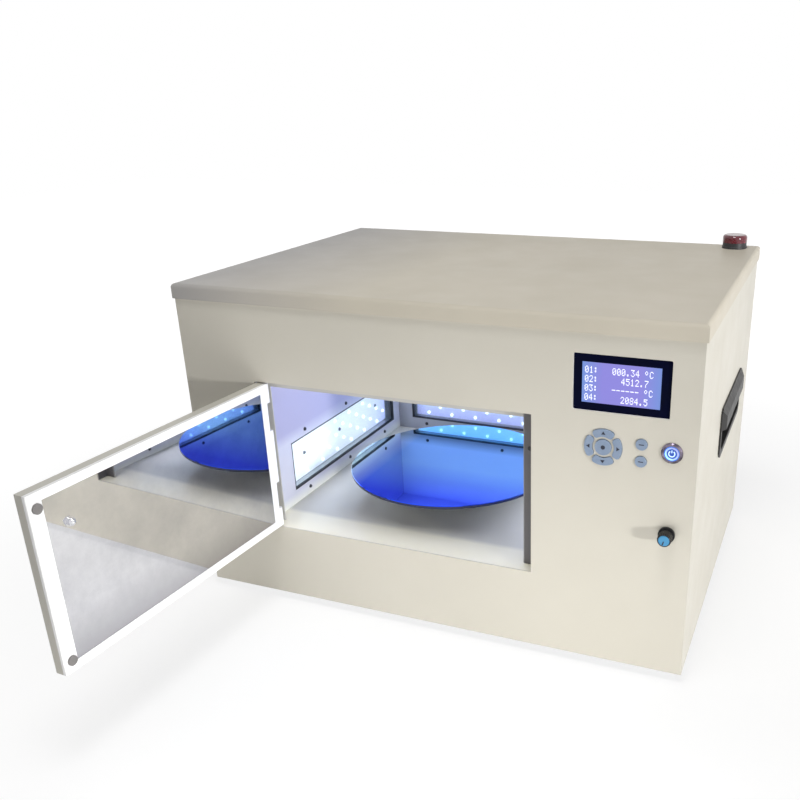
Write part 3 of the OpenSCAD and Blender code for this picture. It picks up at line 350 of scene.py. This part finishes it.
# The keys' pale blue edges, at nearly full strength, are a painted highlight.
key_plastic_and_edge_highlight = coat("key_plastic_and_edge_highlight", (0.27, 0.34, 0.46), (0.23, 0.30, 0.42), 0.45, 900, 0.00004, spread=90,
                   edge=(0.62, 0.72, 0.86), edge_radius=0.0006, edge_amount=0.9, shine=0.3)
display_border = coat("display_border", (0.003, 0.004, 0.014), (0.002, 0.003, 0.020), 0.45, 500, 0.00001,
                      spread=30, edge=(0.012, 0.012, 0.04), edge_radius=0.0002, shine=0.02)
knob_moulding = coat("knob_moulding", (0.010, 0.010, 0.012), (0.016, 0.016, 0.018), 0.24, 900, 0.00002,
                     spread=60, edge=(0.03, 0.03, 0.035), edge_radius=0.0003, shine=0.35)


def from_button(tree, place):
    """How far a place lies across and up from the power button's middle."""
    part = add(tree, "ShaderNodeSeparateXYZ", Vector=place)
    middle = spot(BUTTON_X, 0, BUTTON_Z)
    across = sum_of(tree, "SUBTRACT", part.outputs["X"], middle.x)
    return across, sum_of(tree, "SUBTRACT", part.outputs["Z"], middle.z)


def lit_rim(tree, place, tint):
    """Blue light that falls on the inner edge of the button's rim."""
    across, up = from_button(tree, place)
    squares = sum_of(tree, "ADD", sum_of(tree, "MULTIPLY", across, across), sum_of(tree, "MULTIPLY", up, up))
    return mixed(tree, remap(tree, squares, 0.0069**2, 0.0074**2, 1, 0), tint, (0.10, 0.26, 0.85))


# Painted reflection: the chrome is tinted near black for the dark room it mirrors, with paler purple patches
# and pale edges as painted glints.
button_rim_reflection = coat("button_rim_chrome_and_dark_reflection", (0.035, 0.028, 0.040), (0.34, 0.29, 0.38), 0.14, 500, 0.00002,
                  metallic=1.0, spread=170, edge=(0.5, 0.48, 0.52), edge_radius=0.0003, edge_amount=0.6,
                  over=lit_rim)
blue_cap = coat("blue_cap", (0.05, 0.30, 0.56), (0.04, 0.25, 0.50), 0.35, 900, 0.00003, spread=90,
                edge=(0.2, 0.45, 0.7), edge_radius=0.0004)
printed_dark = coat("dark_print", (0.012, 0.014, 0.03), (0.02, 0.022, 0.04), 0.55, 900, 0.00001,
                    spread=200, edge_radius=0.0001)


def mirror_finish(name, tint, deep, rough, wave):
    """Silvered glass: a clean, slightly uneven reflection with faint smears."""
    material, tree, shader = new_material(name)
    place = object_place(tree)
    smear = remap(tree, noise(tree, place, 14, 6, 0.7), 0.35, 0.75)
    feed(tree, shader.inputs["Base Color"], mixed(tree, smear, tint, deep))
    feed(tree, shader.inputs["Roughness"], remap(tree, smear, 0.0, 1.0, rough, rough * 2.5))
    shader.inputs["Metallic"].default_value = 1.0
    bump = tree.nodes.new("ShaderNodeBump")
    bump.inputs["Strength"].default_value = 1.0
    bump.inputs["Distance"].default_value = wave
    feed(tree, bump.inputs["Height"], noise(tree, place, 5, 1))
    tree.links.new(bump.outputs["Normal"], shader.inputs["Normal"])
    return material


def blue_mirror_with_reflections():
    """Blue mirror with painted reflections, deeper blue in front and pale cyan at its left where it mirrors
    the bright left window, and dark glass at its edge.
    """
    material = mirror_finish("blue_mirror_with_reflections", (0.24, 0.54, 1.0), (0.22, 0.51, 0.98), 0.02, 0.00002)
    tree = material.node_tree
    shader = tree.nodes["Principled BSDF"]
    part = add(tree, "ShaderNodeSeparateXYZ", Vector=object_place(tree))
    low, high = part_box("turntable_mirror")
    middle = (low + high) / 2
    below = remap(tree, part.outputs["Z"], high.z - 0.0008, high.z - 0.0006, 1, 0)
    front = remap(tree, part.outputs["Y"], middle.y - 0.02, low.y + 0.02)
    left = remap(tree, part.outputs["X"], middle.x - 0.075, low.x + 0.012)
    # Painted reflections: deeper blue in front, pale cyan at the left
    face = mixed(tree, front, shader.inputs["Base Color"].links[0].from_socket, (0.025, 0.095, 1.0))
    face = mixed(tree, left, face, (0.80, 0.98, 1.0))
    feed(tree, shader.inputs["Base Color"], mixed(tree, below, face, (0.010, 0.016, 0.07)))
    feed(tree, shader.inputs["Metallic"], sum_of(tree, "SUBTRACT", 1.0, below))
    return material


def silver_mirror_with_dark_reflection():
    """Silver mirror that is darker towards its lower edge, a painted darker reflection."""
    material = mirror_finish("silver_mirror_with_dark_reflection", (0.76, 0.76, 0.78), (0.58, 0.58, 0.61), 0.012, 0.0003)
    tree = material.node_tree
    colour = tree.nodes["Principled BSDF"].inputs["Base Color"]
    place = object_place(tree)
    part = add(tree, "ShaderNodeSeparateXYZ", Vector=place)
    ragged = sum_of(tree, "MULTIPLY", noise(tree, place, 7, 3), 0.03)
    height = sum_of(tree, "ADD", part.outputs["Z"], ragged)
    dark_reflection = remap(tree, height, 0.150, 0.095)
    feed(tree, colour, mixed(tree, dark_reflection, colour.links[0].from_socket, (0.40, 0.395, 0.42)))
    return material


def window_glass():
    """Clear pane that lets the lamp's light straight through."""
    material, tree, shader = new_material("window_glass")
    place = object_place(tree)
    shader.inputs["Base Color"].default_value = (0.75, 0.88, 1.0, 1)
    feed(tree, shader.inputs["Roughness"], remap(tree, noise(tree, place, 30, 4), 0.3, 0.7, 0.04, 0.10))
    shader.inputs["Alpha"].default_value = 0.14
    return material


def glowing(name, colour, strength, under=(0.5, 0.5, 0.6)):
    """A piece that shines by itself, a little unevenly."""
    material, tree, shader = new_material(name)
    place = object_place(tree)
    shade = remap(tree, noise(tree, place, 200, 2), 0.2, 0.8, 0.85, 1.1)
    feed(tree, shader.inputs["Emission Color"], mixed(tree, shade, tuple(0.85 * c for c in colour), colour))
    shader.inputs["Emission Strength"].default_value = strength
    shader.inputs["Base Color"].default_value = (*under, 1)
    shader.inputs["Roughness"].default_value = 0.3
    return material


def lit_board():
    """White boards that the lamps light, dimmer and bluer at the side boards' far end and at the rear."""
    material, tree, shader = new_material("lit_board")
    place = object_place(tree)
    part = add(tree, "ShaderNodeSeparateXYZ", Vector=place)
    along = part.outputs["Y"]
    patch = sum_of(tree, "MULTIPLY", noise(tree, place, 22, 2), 0.05)
    far = remap(tree, sum_of(tree, "ADD", along, patch), 0.06, 0.14)
    rear = remap(tree, along, 0.130, 0.140)
    height = sum_of(tree, "ADD", part.outputs["Z"], sum_of(tree, "MULTIPLY", patch, 0.1))
    upper = remap(tree, height, 0.119, 0.129)
    side = mixed(tree, far, (0.50, 0.58, 0.62), (0.24, 0.30, 0.66))
    back = mixed(tree, upper, (0.10, 0.11, 0.42), (0.24, 0.60, 0.90))
    feed(tree, shader.inputs["Emission Color"], mixed(tree, rear, side, back))
    shader.inputs["Emission Strength"].default_value = 1.0
    shader.inputs["Base Color"].default_value = (0.85, 0.87, 0.95, 1)
    shader.inputs["Roughness"].default_value = 0.4
    return material


def display_glass():
    """Lit graphic display, bluer at its ends, on a green board."""
    material, tree, shader = new_material("lit_display")
    place = object_place(tree)
    part = add(tree, "ShaderNodeSeparateXYZ", Vector=place)
    low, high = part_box("lcd_bezel")
    middle = (low.x + high.x) / 2
    off_centre = sum_of(tree, "ABSOLUTE", sum_of(tree, "SUBTRACT", part.outputs["X"], middle), 0.0)
    patch = sum_of(tree, "MULTIPLY", noise(tree, place, 25, 2), 0.01)
    ends = remap(tree, sum_of(tree, "ADD", off_centre, patch), 0.022, 0.044)
    light = mixed(tree, ends, (0.25, 0.225, 0.66), (0.14, 0.28, 0.64))
    front = remap(tree, part.outputs["Y"], low.y + 0.0035, low.y + 0.0037)
    feed(tree, shader.inputs["Emission Color"], mixed(tree, front, light, (0.0, 0.0, 0.0)))
    shader.inputs["Emission Strength"].default_value = 0.95
    feed(tree, shader.inputs["Base Color"], mixed(tree, front, (0.02, 0.02, 0.1), (0.02, 0.13, 0.05)))
    shader.inputs["Roughness"].default_value = 0.18
    return material


def red_lens():
    """Dark red plastic that lets some light through."""
    material, tree, shader = new_material("red_lens")
    place = object_place(tree)
    red = mixed(tree, noise(tree, place, 90, 3), (0.24, 0.006, 0.03), (0.11, 0.003, 0.012))
    feed(tree, shader.inputs["Base Color"], red)
    feed(tree, shader.inputs["Roughness"], remap(tree, noise(tree, place, 160, 3), 0.3, 0.7, 0.08, 0.16))
    shader.inputs["Transmission Weight"].default_value = 0.35
    shader.inputs["Coat Weight"].default_value = 0.5
    return material


FINISHES = {
    body_paint_and_highlights: "front_panel left_side_panel right_side_panel rear_panel",
    lid_paint_and_shade: "top_lid",
    door_paint_and_edge_shade: "door_panel",
    stop_paint_and_shade: "door_stop_frame",
    liner_paint: "chamber_ceiling",
    side_liner_paint_and_light: "chamber_left_wall chamber_right_wall",
    rear_liner_paint_and_shade: "chamber_rear_wall",
    chamber_floor_paint_and_sill_light: "chamber_floor",
    zinc: "base_pan motor_bracket gear_motor hinge_frame_leaves hinge_door_leaves hinge_pins rear_fan_guard",
    bright: "turntable_shaft motor_output_shaft door_knob",
    button_rim_reflection: "power_button_body",
    alloy: "heat_sinks bearing_housing turntable_carrier shaft_coupling power_supply speed_potentiometer",
    black_moulding: "fan_frames left_fan_rotor right_fan_rotor rear_fan_rotor interlock_sensor beacon_base"
    " mains_inlet",
    display_border: "lcd_bezel",
    knob_moulding: "speed_knob",
    handle_moulding: "carry_handles",
    rubber: "feet window_gaskets",
    window_glass(): "window_glasses",
    lit_board(): "led_boards",
    board_green: "keypad_board control_board",
    glowing("lit_emitter", (0.70, 0.93, 1.0), 2.2): "led_emitters",
    blue_mirror_with_reflections(): "turntable_mirror",
    silver_mirror_with_dark_reflection(): "door_mirror",
    magnet_grey: "door_magnets",
    display_glass(): "lcd_module",
    key_plastic_and_edge_highlight: "up_key down_key left_key right_key middle_key upper_small_key lower_small_key",
    glowing("lit_button", (0.004, 0.045, 0.26), 1.0, (0.01, 0.05, 0.25)): "power_button_cap",
    blue_cap: "speed_knob_cap",
    red_lens(): "beacon_lens",
}
for finish, names in FINISHES.items():
    for name in names.split():
        for place in nodes[name].material_slots:
            place.material = finish

# Pieces

FACING = {
    "front": Matrix.Rotation(math.radians(90), 4, "X"),
    "rear": Matrix.Rotation(math.radians(-90), 4, "X"),
    "right": Matrix.Rotation(math.radians(90), 4, "Y"),
    "left": Matrix.Rotation(math.radians(-90), 4, "Y"),
    "up": Matrix.Identity(4),
    "down": Matrix.Rotation(math.radians(180), 4, "X"),
}


def standing(x, y, z, facing):
    return Matrix.Translation(spot(x, y, z)) @ FACING[facing]


def piece(name, bm, material, body, closed=True):
    """A finished mesh that rides on a body."""
    if closed:
        bmesh.ops.recalc_face_normals(bm, faces=bm.faces)
    for face in bm.faces:
        face.smooth = True
    for edge in bm.edges:
        if len(edge.link_faces) == 2:
            edge.smooth = edge.calc_face_angle() < 0.6
    mesh = bpy.data.meshes.new(name)
    bm.to_mesh(mesh)
    bm.free()
    mesh.materials.append(material)
    made = bpy.data.objects.new(name, mesh)
    bpy.context.scene.collection.objects.link(made)
    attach(made, body)
    return made


def pan_head(bm, radius, place, rise):
    """Cross-recessed screw head that rises along place's +Z by that share of its radius."""
    height = radius * rise
    made = bmesh.ops.create_cone(bm, cap_ends=True, segments=16, radius1=radius, radius2=radius * 0.8,
                                 depth=height, matrix=place @ Matrix.Translation((0, 0, height / 2)))
    out = place.to_3x3() @ Vector((0, 0, 1))
    faces = {face for vert in made["verts"] for face in vert.link_faces if len(face.verts) == 16}
    top = max(faces, key=lambda face: face.calc_center_median().dot(out))
    bmesh.ops.inset_region(bm, faces=[top], thickness=radius * 0.2)
    centre = top.calc_center_median()
    for i, vert in enumerate(top.verts):
        if i % 4:
            vert.co = centre + (vert.co - centre) * 0.36
    sunk = bmesh.ops.extrude_discrete_faces(bm, faces=[top])["faces"]
    bmesh.ops.translate(bm, verts=sunk[0].verts, vec=out * (-height * 0.5))


def screws(name, radius, places, body="cabinet", material=dark_screw, rise=0.6):
    bm = bmesh.new()
    for place in places:
        pan_head(bm, radius / 1000, place, rise)
    return piece(name, bm, material, body)


def chamber_screws():
    """Screws round the three windows, in their walls and in the lit boards behind them."""
    places = []
    frame_rows = (95.5, 170.5)
    for along in (89.3, 186.3, 283.3):
        for height in frame_rows:
            places.append(standing(85.4, along, height, "right"))
            places.append(standing(404.7, along, height, "left"))
        places.append(standing(72.4, max(along, 102), WINDOW_Z, "right"))
        places.append(standing(417.7, along, WINDOW_Z, "left"))
    for across in (129, CHAMBER_X, 361):
        for height in frame_rows:
            places.append(standing(across, 331, height, "front"))
        places.append(standing(across, 344, WINDOW_Z, "front"))
    screws("chamber_screws", 2.3, places)


def cabinet_screws():
    """Screws of the rear panel, its fan guard and inlet, the base pan and the feet."""
    rear = [standing(x, 405, z, "rear") for x in (12, 280, 548) for z in (30, 325)]
    rear += [standing(x, 405, 180, "rear") for x in (12, 548)]
    screws("rear_panel_screws", 3, rear, material=zinc)
    off = 35.6
    guard = [standing(CHAMBER_X + x, 407, WINDOW_Z + z, "rear") for x in (-off, off) for z in (-off, off)]
    screws("fan_guard_screws", 2.6, guard, material=zinc, rise=0.17)
    inlet = [standing(x, 406.3, 42, "rear") for x in (465, 505)]
    screws("inlet_screws", 1.7, inlet, material=zinc)
    base = [standing(x, y, 0, "down") for x in (150, 280, 410) for y in (11, 394)]
    screws("base_screws", 3, base, material=zinc)
    feet = [standing(x, y, -6, "down") for x in (45, 515) for y in (45, 360)]
    screws("foot_screws", 4, feet, material=zinc)


chamber_screws()
cabinet_screws()

# Five by seven dot figures, one number a row, the highest bit at the left
FIGURES = {
    "0": (14, 17, 19, 21, 25, 17, 14),
    "1": (4, 12, 4, 4, 4, 4, 14),
    "2": (14, 17, 1, 2, 4, 8, 31),
    "3": (31, 2, 4, 2, 1, 17, 14),
    "4": (2, 6, 10, 18, 31, 2, 2),
    "5": (31, 16, 30, 1, 1, 17, 14),
    "7": (31, 1, 2, 4, 8, 8, 8),
    "8": (14, 17, 17, 14, 17, 17, 14),
    "9": (14, 17, 17, 15, 1, 2, 12),
    ":": (0, 12, 12, 0, 12, 12, 0),
    ".": (0, 0, 0, 0, 0, 12, 12),
    "-": (0, 0, 0, 31, 0, 0, 0),
    "o": (12, 18, 18, 12, 0, 0, 0),
    "C": (14, 17, 16, 16, 16, 17, 14),
}
DISPLAY_LINES = ("01:   000.34 oC", "02:     4512.7", "03:   ------ oC", "04:     2084.5")


def display_figures():
    """Plain numbers in white dots on the display."""
    left, top, face = 450.2, 314.85, 2.26
    sign_pitch, line_pitch = 72.8 / 17.2, 8.75
    dot_across, dot_down = 0.66, 0.92
    half_dot = Matrix.Diagonal((0.00032, 0.00044, 1, 1))
    bm = bmesh.new()
    for row, line in enumerate(DISPLAY_LINES):
        for column, sign in enumerate(line):
            for down, bits in enumerate(FIGURES.get(sign, ())):
                for across in range(5):
                    if bits >> (4 - across) & 1:
                        x = left + (column + 0.7) * sign_pitch + across * dot_across
                        z = top - 4.6 - row * line_pitch - down * dot_down
                        bmesh.ops.create_grid(bm, x_segments=1, y_segments=1, size=1,
                                              matrix=standing(x, face, z, "front") @ half_dot)
    light = glowing("lit_figures", (0.80, 0.83, 1.0), 0.88)
    piece("display_figures", bm, light, "cabinet", closed=False)


display_figures()


def key_mark(key, outline, x, z):
    """Printed mark on a key: an outline in millimetres about x and z, raised a hair from the key's face."""
    face, rise = -1.2, 0.00008
    bm = bmesh.new()
    verts = [bm.verts.new((px / 1000, pz / 1000, 0)) for px, pz in outline]
    bm.faces.new(verts)
    raised = bmesh.ops.extrude_face_region(bm, geom=bm.faces[:])["geom"]
    bmesh.ops.translate(bm, verts=[v for v in raised if isinstance(v, bmesh.types.BMVert)], vec=(0, 0, rise))
    bmesh.ops.transform(bm, matrix=standing(x, face, z, "front"), verts=bm.verts)
    piece(key + "_mark", bm, printed_dark, key)


def key_marks():
    """Arrows on the ring keys, a dot on the middle key and a bar on each small key."""
    reach, dot_radius = 14.3, 2.1
    arrow = [(0, 1.7), (-2.1, -1.5), (2.1, -1.5)]
    for turn, key in ((0, "up_key"), (90, "left_key"), (180, "down_key"), (270, "right_key")):
        c, s = math.cos(math.radians(turn)), math.sin(math.radians(turn))
        outline = [(px * c - pz * s, px * s + pz * c) for px, pz in arrow]
        key_mark(key, outline, RING_X - reach * s, RING_Z + reach * c)
    angles = [math.radians(a) for a in range(0, 360, 15)]
    dot = [(dot_radius * math.cos(a), dot_radius * math.sin(a)) for a in angles]
    key_mark("middle_key", dot, RING_X, RING_Z)
    bar = [(-2.4, -0.5), (2.4, -0.5), (2.4, 0.5), (-2.4, 0.5)]
    key_mark("upper_small_key", bar, 508.6, 241.5)
    key_mark("lower_small_key", bar, 508.6, 224.6)


key_marks()


def ring_glow():
    """Blue ring light, cyan at the lower left and dimmer at the upper right."""
    blue = (0.06, 0.28, 0.85)
    material = glowing("lit_ring", blue, 1.0)
    tree = material.node_tree
    slant = sum_of(tree, "ADD", *from_button(tree, object_place(tree)))
    light = mixed(tree, remap(tree, slant, 0.001, 0.006), blue, (0.03, 0.09, 0.45))
    light = mixed(tree, remap(tree, slant, -0.0035, -0.0065), light, (0.20, 0.85, 1.0))
    feed(tree, tree.nodes["Principled BSDF"].inputs["Emission Color"], light)
    return material


def turned_bar(bm, inner, outer, rise, start, sweep, steps):
    """Flat bar between two radii that runs round +Z from one angle, in degrees, with its ends closed."""
    section = [bm.verts.new((x, 0, z)) for x, z in ((inner, 0), (outer, 0), (outer, rise), (inner, rise))]
    face = bm.faces.new(section)
    bmesh.ops.transform(bm, matrix=Matrix.Rotation(math.radians(start), 4, "Z"), verts=bm.verts)
    bmesh.ops.spin(bm, geom=[face, *face.edges, *face.verts], axis=(0, 0, 1), cent=(0, 0, 0), steps=steps,
                   angle=math.radians(sweep), use_merge=sweep == 360)


def power_marks():
    """Glowing ring round the cap and the power sign on it."""
    cap_face = standing(BUTTON_X, -1.8, BUTTON_Z, "front")
    bm = bmesh.new()
    turned_bar(bm, 0.0048, 0.00625, 0.00025, 0, 360, 48)
    inner_faces = [f for f in bm.faces if all(abs(v.co.y) < 1e-9 for v in f.verts)]
    bmesh.ops.delete(bm, geom=inner_faces, context="FACES_ONLY")
    bmesh.ops.transform(bm, matrix=cap_face, verts=bm.verts)
    piece("power_ring", bm, ring_glow(), "power_button")
    bm = bmesh.new()
    turned_bar(bm, 0.0023, 0.0032, 0.0003, 125, 290, 30)
    bar = Matrix.Translation((0, 0.0022, 0.00015)) @ Matrix.Diagonal((0.0008, 0.0026, 0.0003, 1))
    bmesh.ops.create_cube(bm, size=1, matrix=bar)
    bmesh.ops.transform(bm, matrix=cap_face, verts=bm.verts)
    piece("power_sign", bm, glowing("lit_sign", (0.50, 0.78, 1.0), 1.0), "power_button")


power_marks()


def knob_pointer():
    """Dark line from the middle of the blue cap to its rim, at the low end of the travel."""
    cap_face = standing(KNOB_X, -14.6, KNOB_Z, "front")
    line = Matrix.Translation((0, -0.0026, 0.00004)) @ Matrix.Diagonal((0.0011, 0.0040, 0.0003, 1))
    bm = bmesh.new()
    bmesh.ops.create_cube(bm, size=1, matrix=cap_face @ Matrix.Rotation(math.radians(-15), 4, "Z") @ line)
    bmesh.ops.bevel(bm, geom=bm.edges[:], offset=0.00008, segments=2, profile=0.5, affect="EDGES",
                    material=-1)
    piece("knob_pointer", bm, printed_dark, "speed_control")


knob_pointer()


def door_place():
    """From the closed door's place to where it stands open, about the hinge axis."""
    pivot = Matrix.Translation(spot(HINGE_X, HINGE_Y, 0))
    return pivot @ Matrix.Rotation(math.radians(-DOOR_OPEN), 4, "Z") @ pivot.inverted()


def door_cap_nut():
    """Dome nut and washer that hold the knob's stud on the mirror."""
    washer, flats, dome_start = 0.0008, 0.003, 0.0036
    bm = bmesh.new()
    bmesh.ops.create_cone(bm, cap_ends=True, segments=32, radius1=0.0046, radius2=0.0046, depth=washer,
                          matrix=Matrix.Translation((0, 0, washer / 2)))
    nut = bmesh.ops.create_cone(bm, cap_ends=True, segments=6, radius1=0.0035, radius2=0.0035, depth=flats,
                                matrix=Matrix.Translation((0, 0, washer + flats / 2)))
    edges = list({edge for vert in nut["verts"] for edge in vert.link_edges})
    bmesh.ops.bevel(bm, geom=edges, offset=0.0003, segments=2, profile=0.5, affect="EDGES", material=-1)
    dome = bmesh.ops.create_uvsphere(bm, u_segments=24, v_segments=12, radius=0.0026,
                                     matrix=Matrix.Translation((0, 0, dome_start)))
    faces = list({face for vert in dome["verts"] for face in vert.link_faces})
    edges = list({edge for vert in dome["verts"] for edge in vert.link_edges})
    bmesh.ops.bisect_plane(bm, geom=[*dome["verts"], *edges, *faces], plane_co=(0, 0, dome_start),
                           plane_no=(0, 0, -1), clear_outer=True)
    bmesh.ops.transform(bm, matrix=door_place() @ standing(362.75, 12.7, 219.2, "rear"), verts=bm.verts)
    piece("door_cap_nut", bm, bright, "door")


door_cap_nut()

# Studio


def studio_floor():
    """Pale floor that shows the object's shadow near it and plain white farther away."""
    near, far = 0.45, 0.95
    bm = bmesh.new()
    bmesh.ops.create_grid(bm, x_segments=1, y_segments=1, size=4)
    bmesh.ops.translate(bm, verts=bm.verts, vec=(0, 0, cad_box[0].z))
    mesh = bpy.data.meshes.new("studio_floor")
    bm.to_mesh(mesh)
    bm.free()
    material, tree, shader = new_material("studio_floor")
    shader.inputs["Base Color"].default_value = (0.88, 0.88, 0.88, 1)
    shader.inputs["Roughness"].default_value = 0.8
    shader.inputs["Specular IOR Level"].default_value = 0.0
    glow = add(tree, "ShaderNodeEmission", Strength=1.06)
    glow.inputs["Color"].default_value = (1, 1, 1, 1)
    reach = add(tree, "ShaderNodeVectorMath", {"operation": "LENGTH"})
    tree.links.new(object_place(tree), reach.inputs[0])
    whiter = remap(tree, reach.outputs["Value"], near, far, 0.72, 1.0)
    share = sum_of(tree, "MULTIPLY", seen_ray(tree), whiter)
    blend = add(tree, "ShaderNodeMixShader", Fac=share)
    tree.links.new(shader.outputs[0], blend.inputs[1])
    tree.links.new(glow.outputs[0], blend.inputs[2])
    tree.links.new(blend.outputs[0], tree.nodes["Material Output"].inputs["Surface"])
    mesh.materials.append(material)
    floor = bpy.data.objects.new("studio_floor", mesh)
    bpy.context.scene.collection.objects.link(floor)


def seen_ray(tree):
    """One for rays from the camera, from gloss and through glass."""
    path = tree.nodes.new("ShaderNodeLightPath")
    gloss = sum_of(tree, "MAXIMUM", path.outputs["Is Camera Ray"], path.outputs["Is Glossy Ray"])
    return sum_of(tree, "MAXIMUM", gloss, path.outputs["Is Transmission Ray"])


def studio_world():
    """Even light that is stronger from the front right, with a plain white backdrop."""
    world = bpy.data.worlds.new("studio")
    world.use_nodes = True
    tree = world.node_tree
    tree.nodes.clear()
    toward = tree.nodes.new("ShaderNodeVectorMath")
    toward.operation = "DOT_PRODUCT"
    tree.links.new(add(tree, "ShaderNodeTexCoord").outputs["Generated"], toward.inputs[0])
    toward.inputs[1].default_value = Vector((0.55, -0.80, 0.25)).normalized()
    level = remap(tree, toward.outputs["Value"], 0, 1, 0.13, 0.17)
    room = add(tree, "ShaderNodeBackground", Color=(0.98, 0.98, 1.0), Strength=level)
    white = add(tree, "ShaderNodeBackground", Color=(1, 1, 1), Strength=1.0)
    blend = add(tree, "ShaderNodeMixShader", Fac=seen_ray(tree))
    tree.links.new(room.outputs[0], blend.inputs[1])
    tree.links.new(white.outputs[0], blend.inputs[2])
    output = tree.nodes.new("ShaderNodeOutputWorld")
    tree.links.new(blend.outputs[0], output.inputs["Surface"])
    bpy.context.scene.world = world


def lamp(name, place, aim, width, height, power, colour=(1, 1, 1), seen=True):
    data = bpy.data.lights.new(name, "AREA")
    data.shape = "RECTANGLE"
    data.size = width
    data.size_y = height
    data.energy = power
    data.color = colour
    made = bpy.data.objects.new(name, data)
    made.location = place
    made.rotation_euler = (Vector(aim) - Vector(place)).to_track_quat("-Z", "Y").to_euler()
    made.visible_camera = False
    made.visible_glossy = seen
    made.visible_transmission = False
    bpy.context.scene.collection.objects.link(made)


def chamber_lamps():
    """Light of the side windows' emitters, and a lamp that lights the chamber's ceiling from below."""
    for name, x, toward, power in (("left_lamp", 88, 300, 0.09), ("right_lamp", 402, 200, 0.18)):
        place, aim = spot(x, CHAMBER_Y, WINDOW_Z), spot(toward, CHAMBER_Y, WINDOW_Z)
        lamp(name, place, aim, 0.25, 0.06, power, (0.74, 0.78, 1.0), False)
    place, aim = spot(CHAMBER_X, CHAMBER_Y, 236), spot(CHAMBER_X, CHAMBER_Y, 300)
    lamp("upper_lamp", place, aim, 0.28, 0.26, 0.13, (0.8, 0.9, 1.0), False)


studio_floor()
studio_world()
lamp("key", (2.6, -1.40, 0.40), (0.15, -0.2, 0.17), 0.22, 0.28, 40.0)
lamp("right_side", (1.5, -0.14, 0.25), (0.28, -0.1, 0.1), 0.5, 0.4, 4, seen=False)
lamp("ceiling", (0.15, -0.50, 1.75), (0.0, -0.2, 0.09), 0.5, 0.5, 13.5)
lamp("floor_bounce", (0.12, -0.50, -0.005), (0.0, -0.2, 0.06), 0.5, 0.2, 1.0, (1, 0.99, 0.96), False)
lamp("left_side", (-1.9, 0.5, 0.5), (-0.28, 0, 0.18), 0.9, 0.8, 5, seen=False)
lamp("rear", (-0.4, 2.0, 0.5), (0, 0.2, 0.18), 0.9, 0.8, 10, seen=False)
chamber_lamps()

bpy.context.scene.view_settings.view_transform = "Standard"
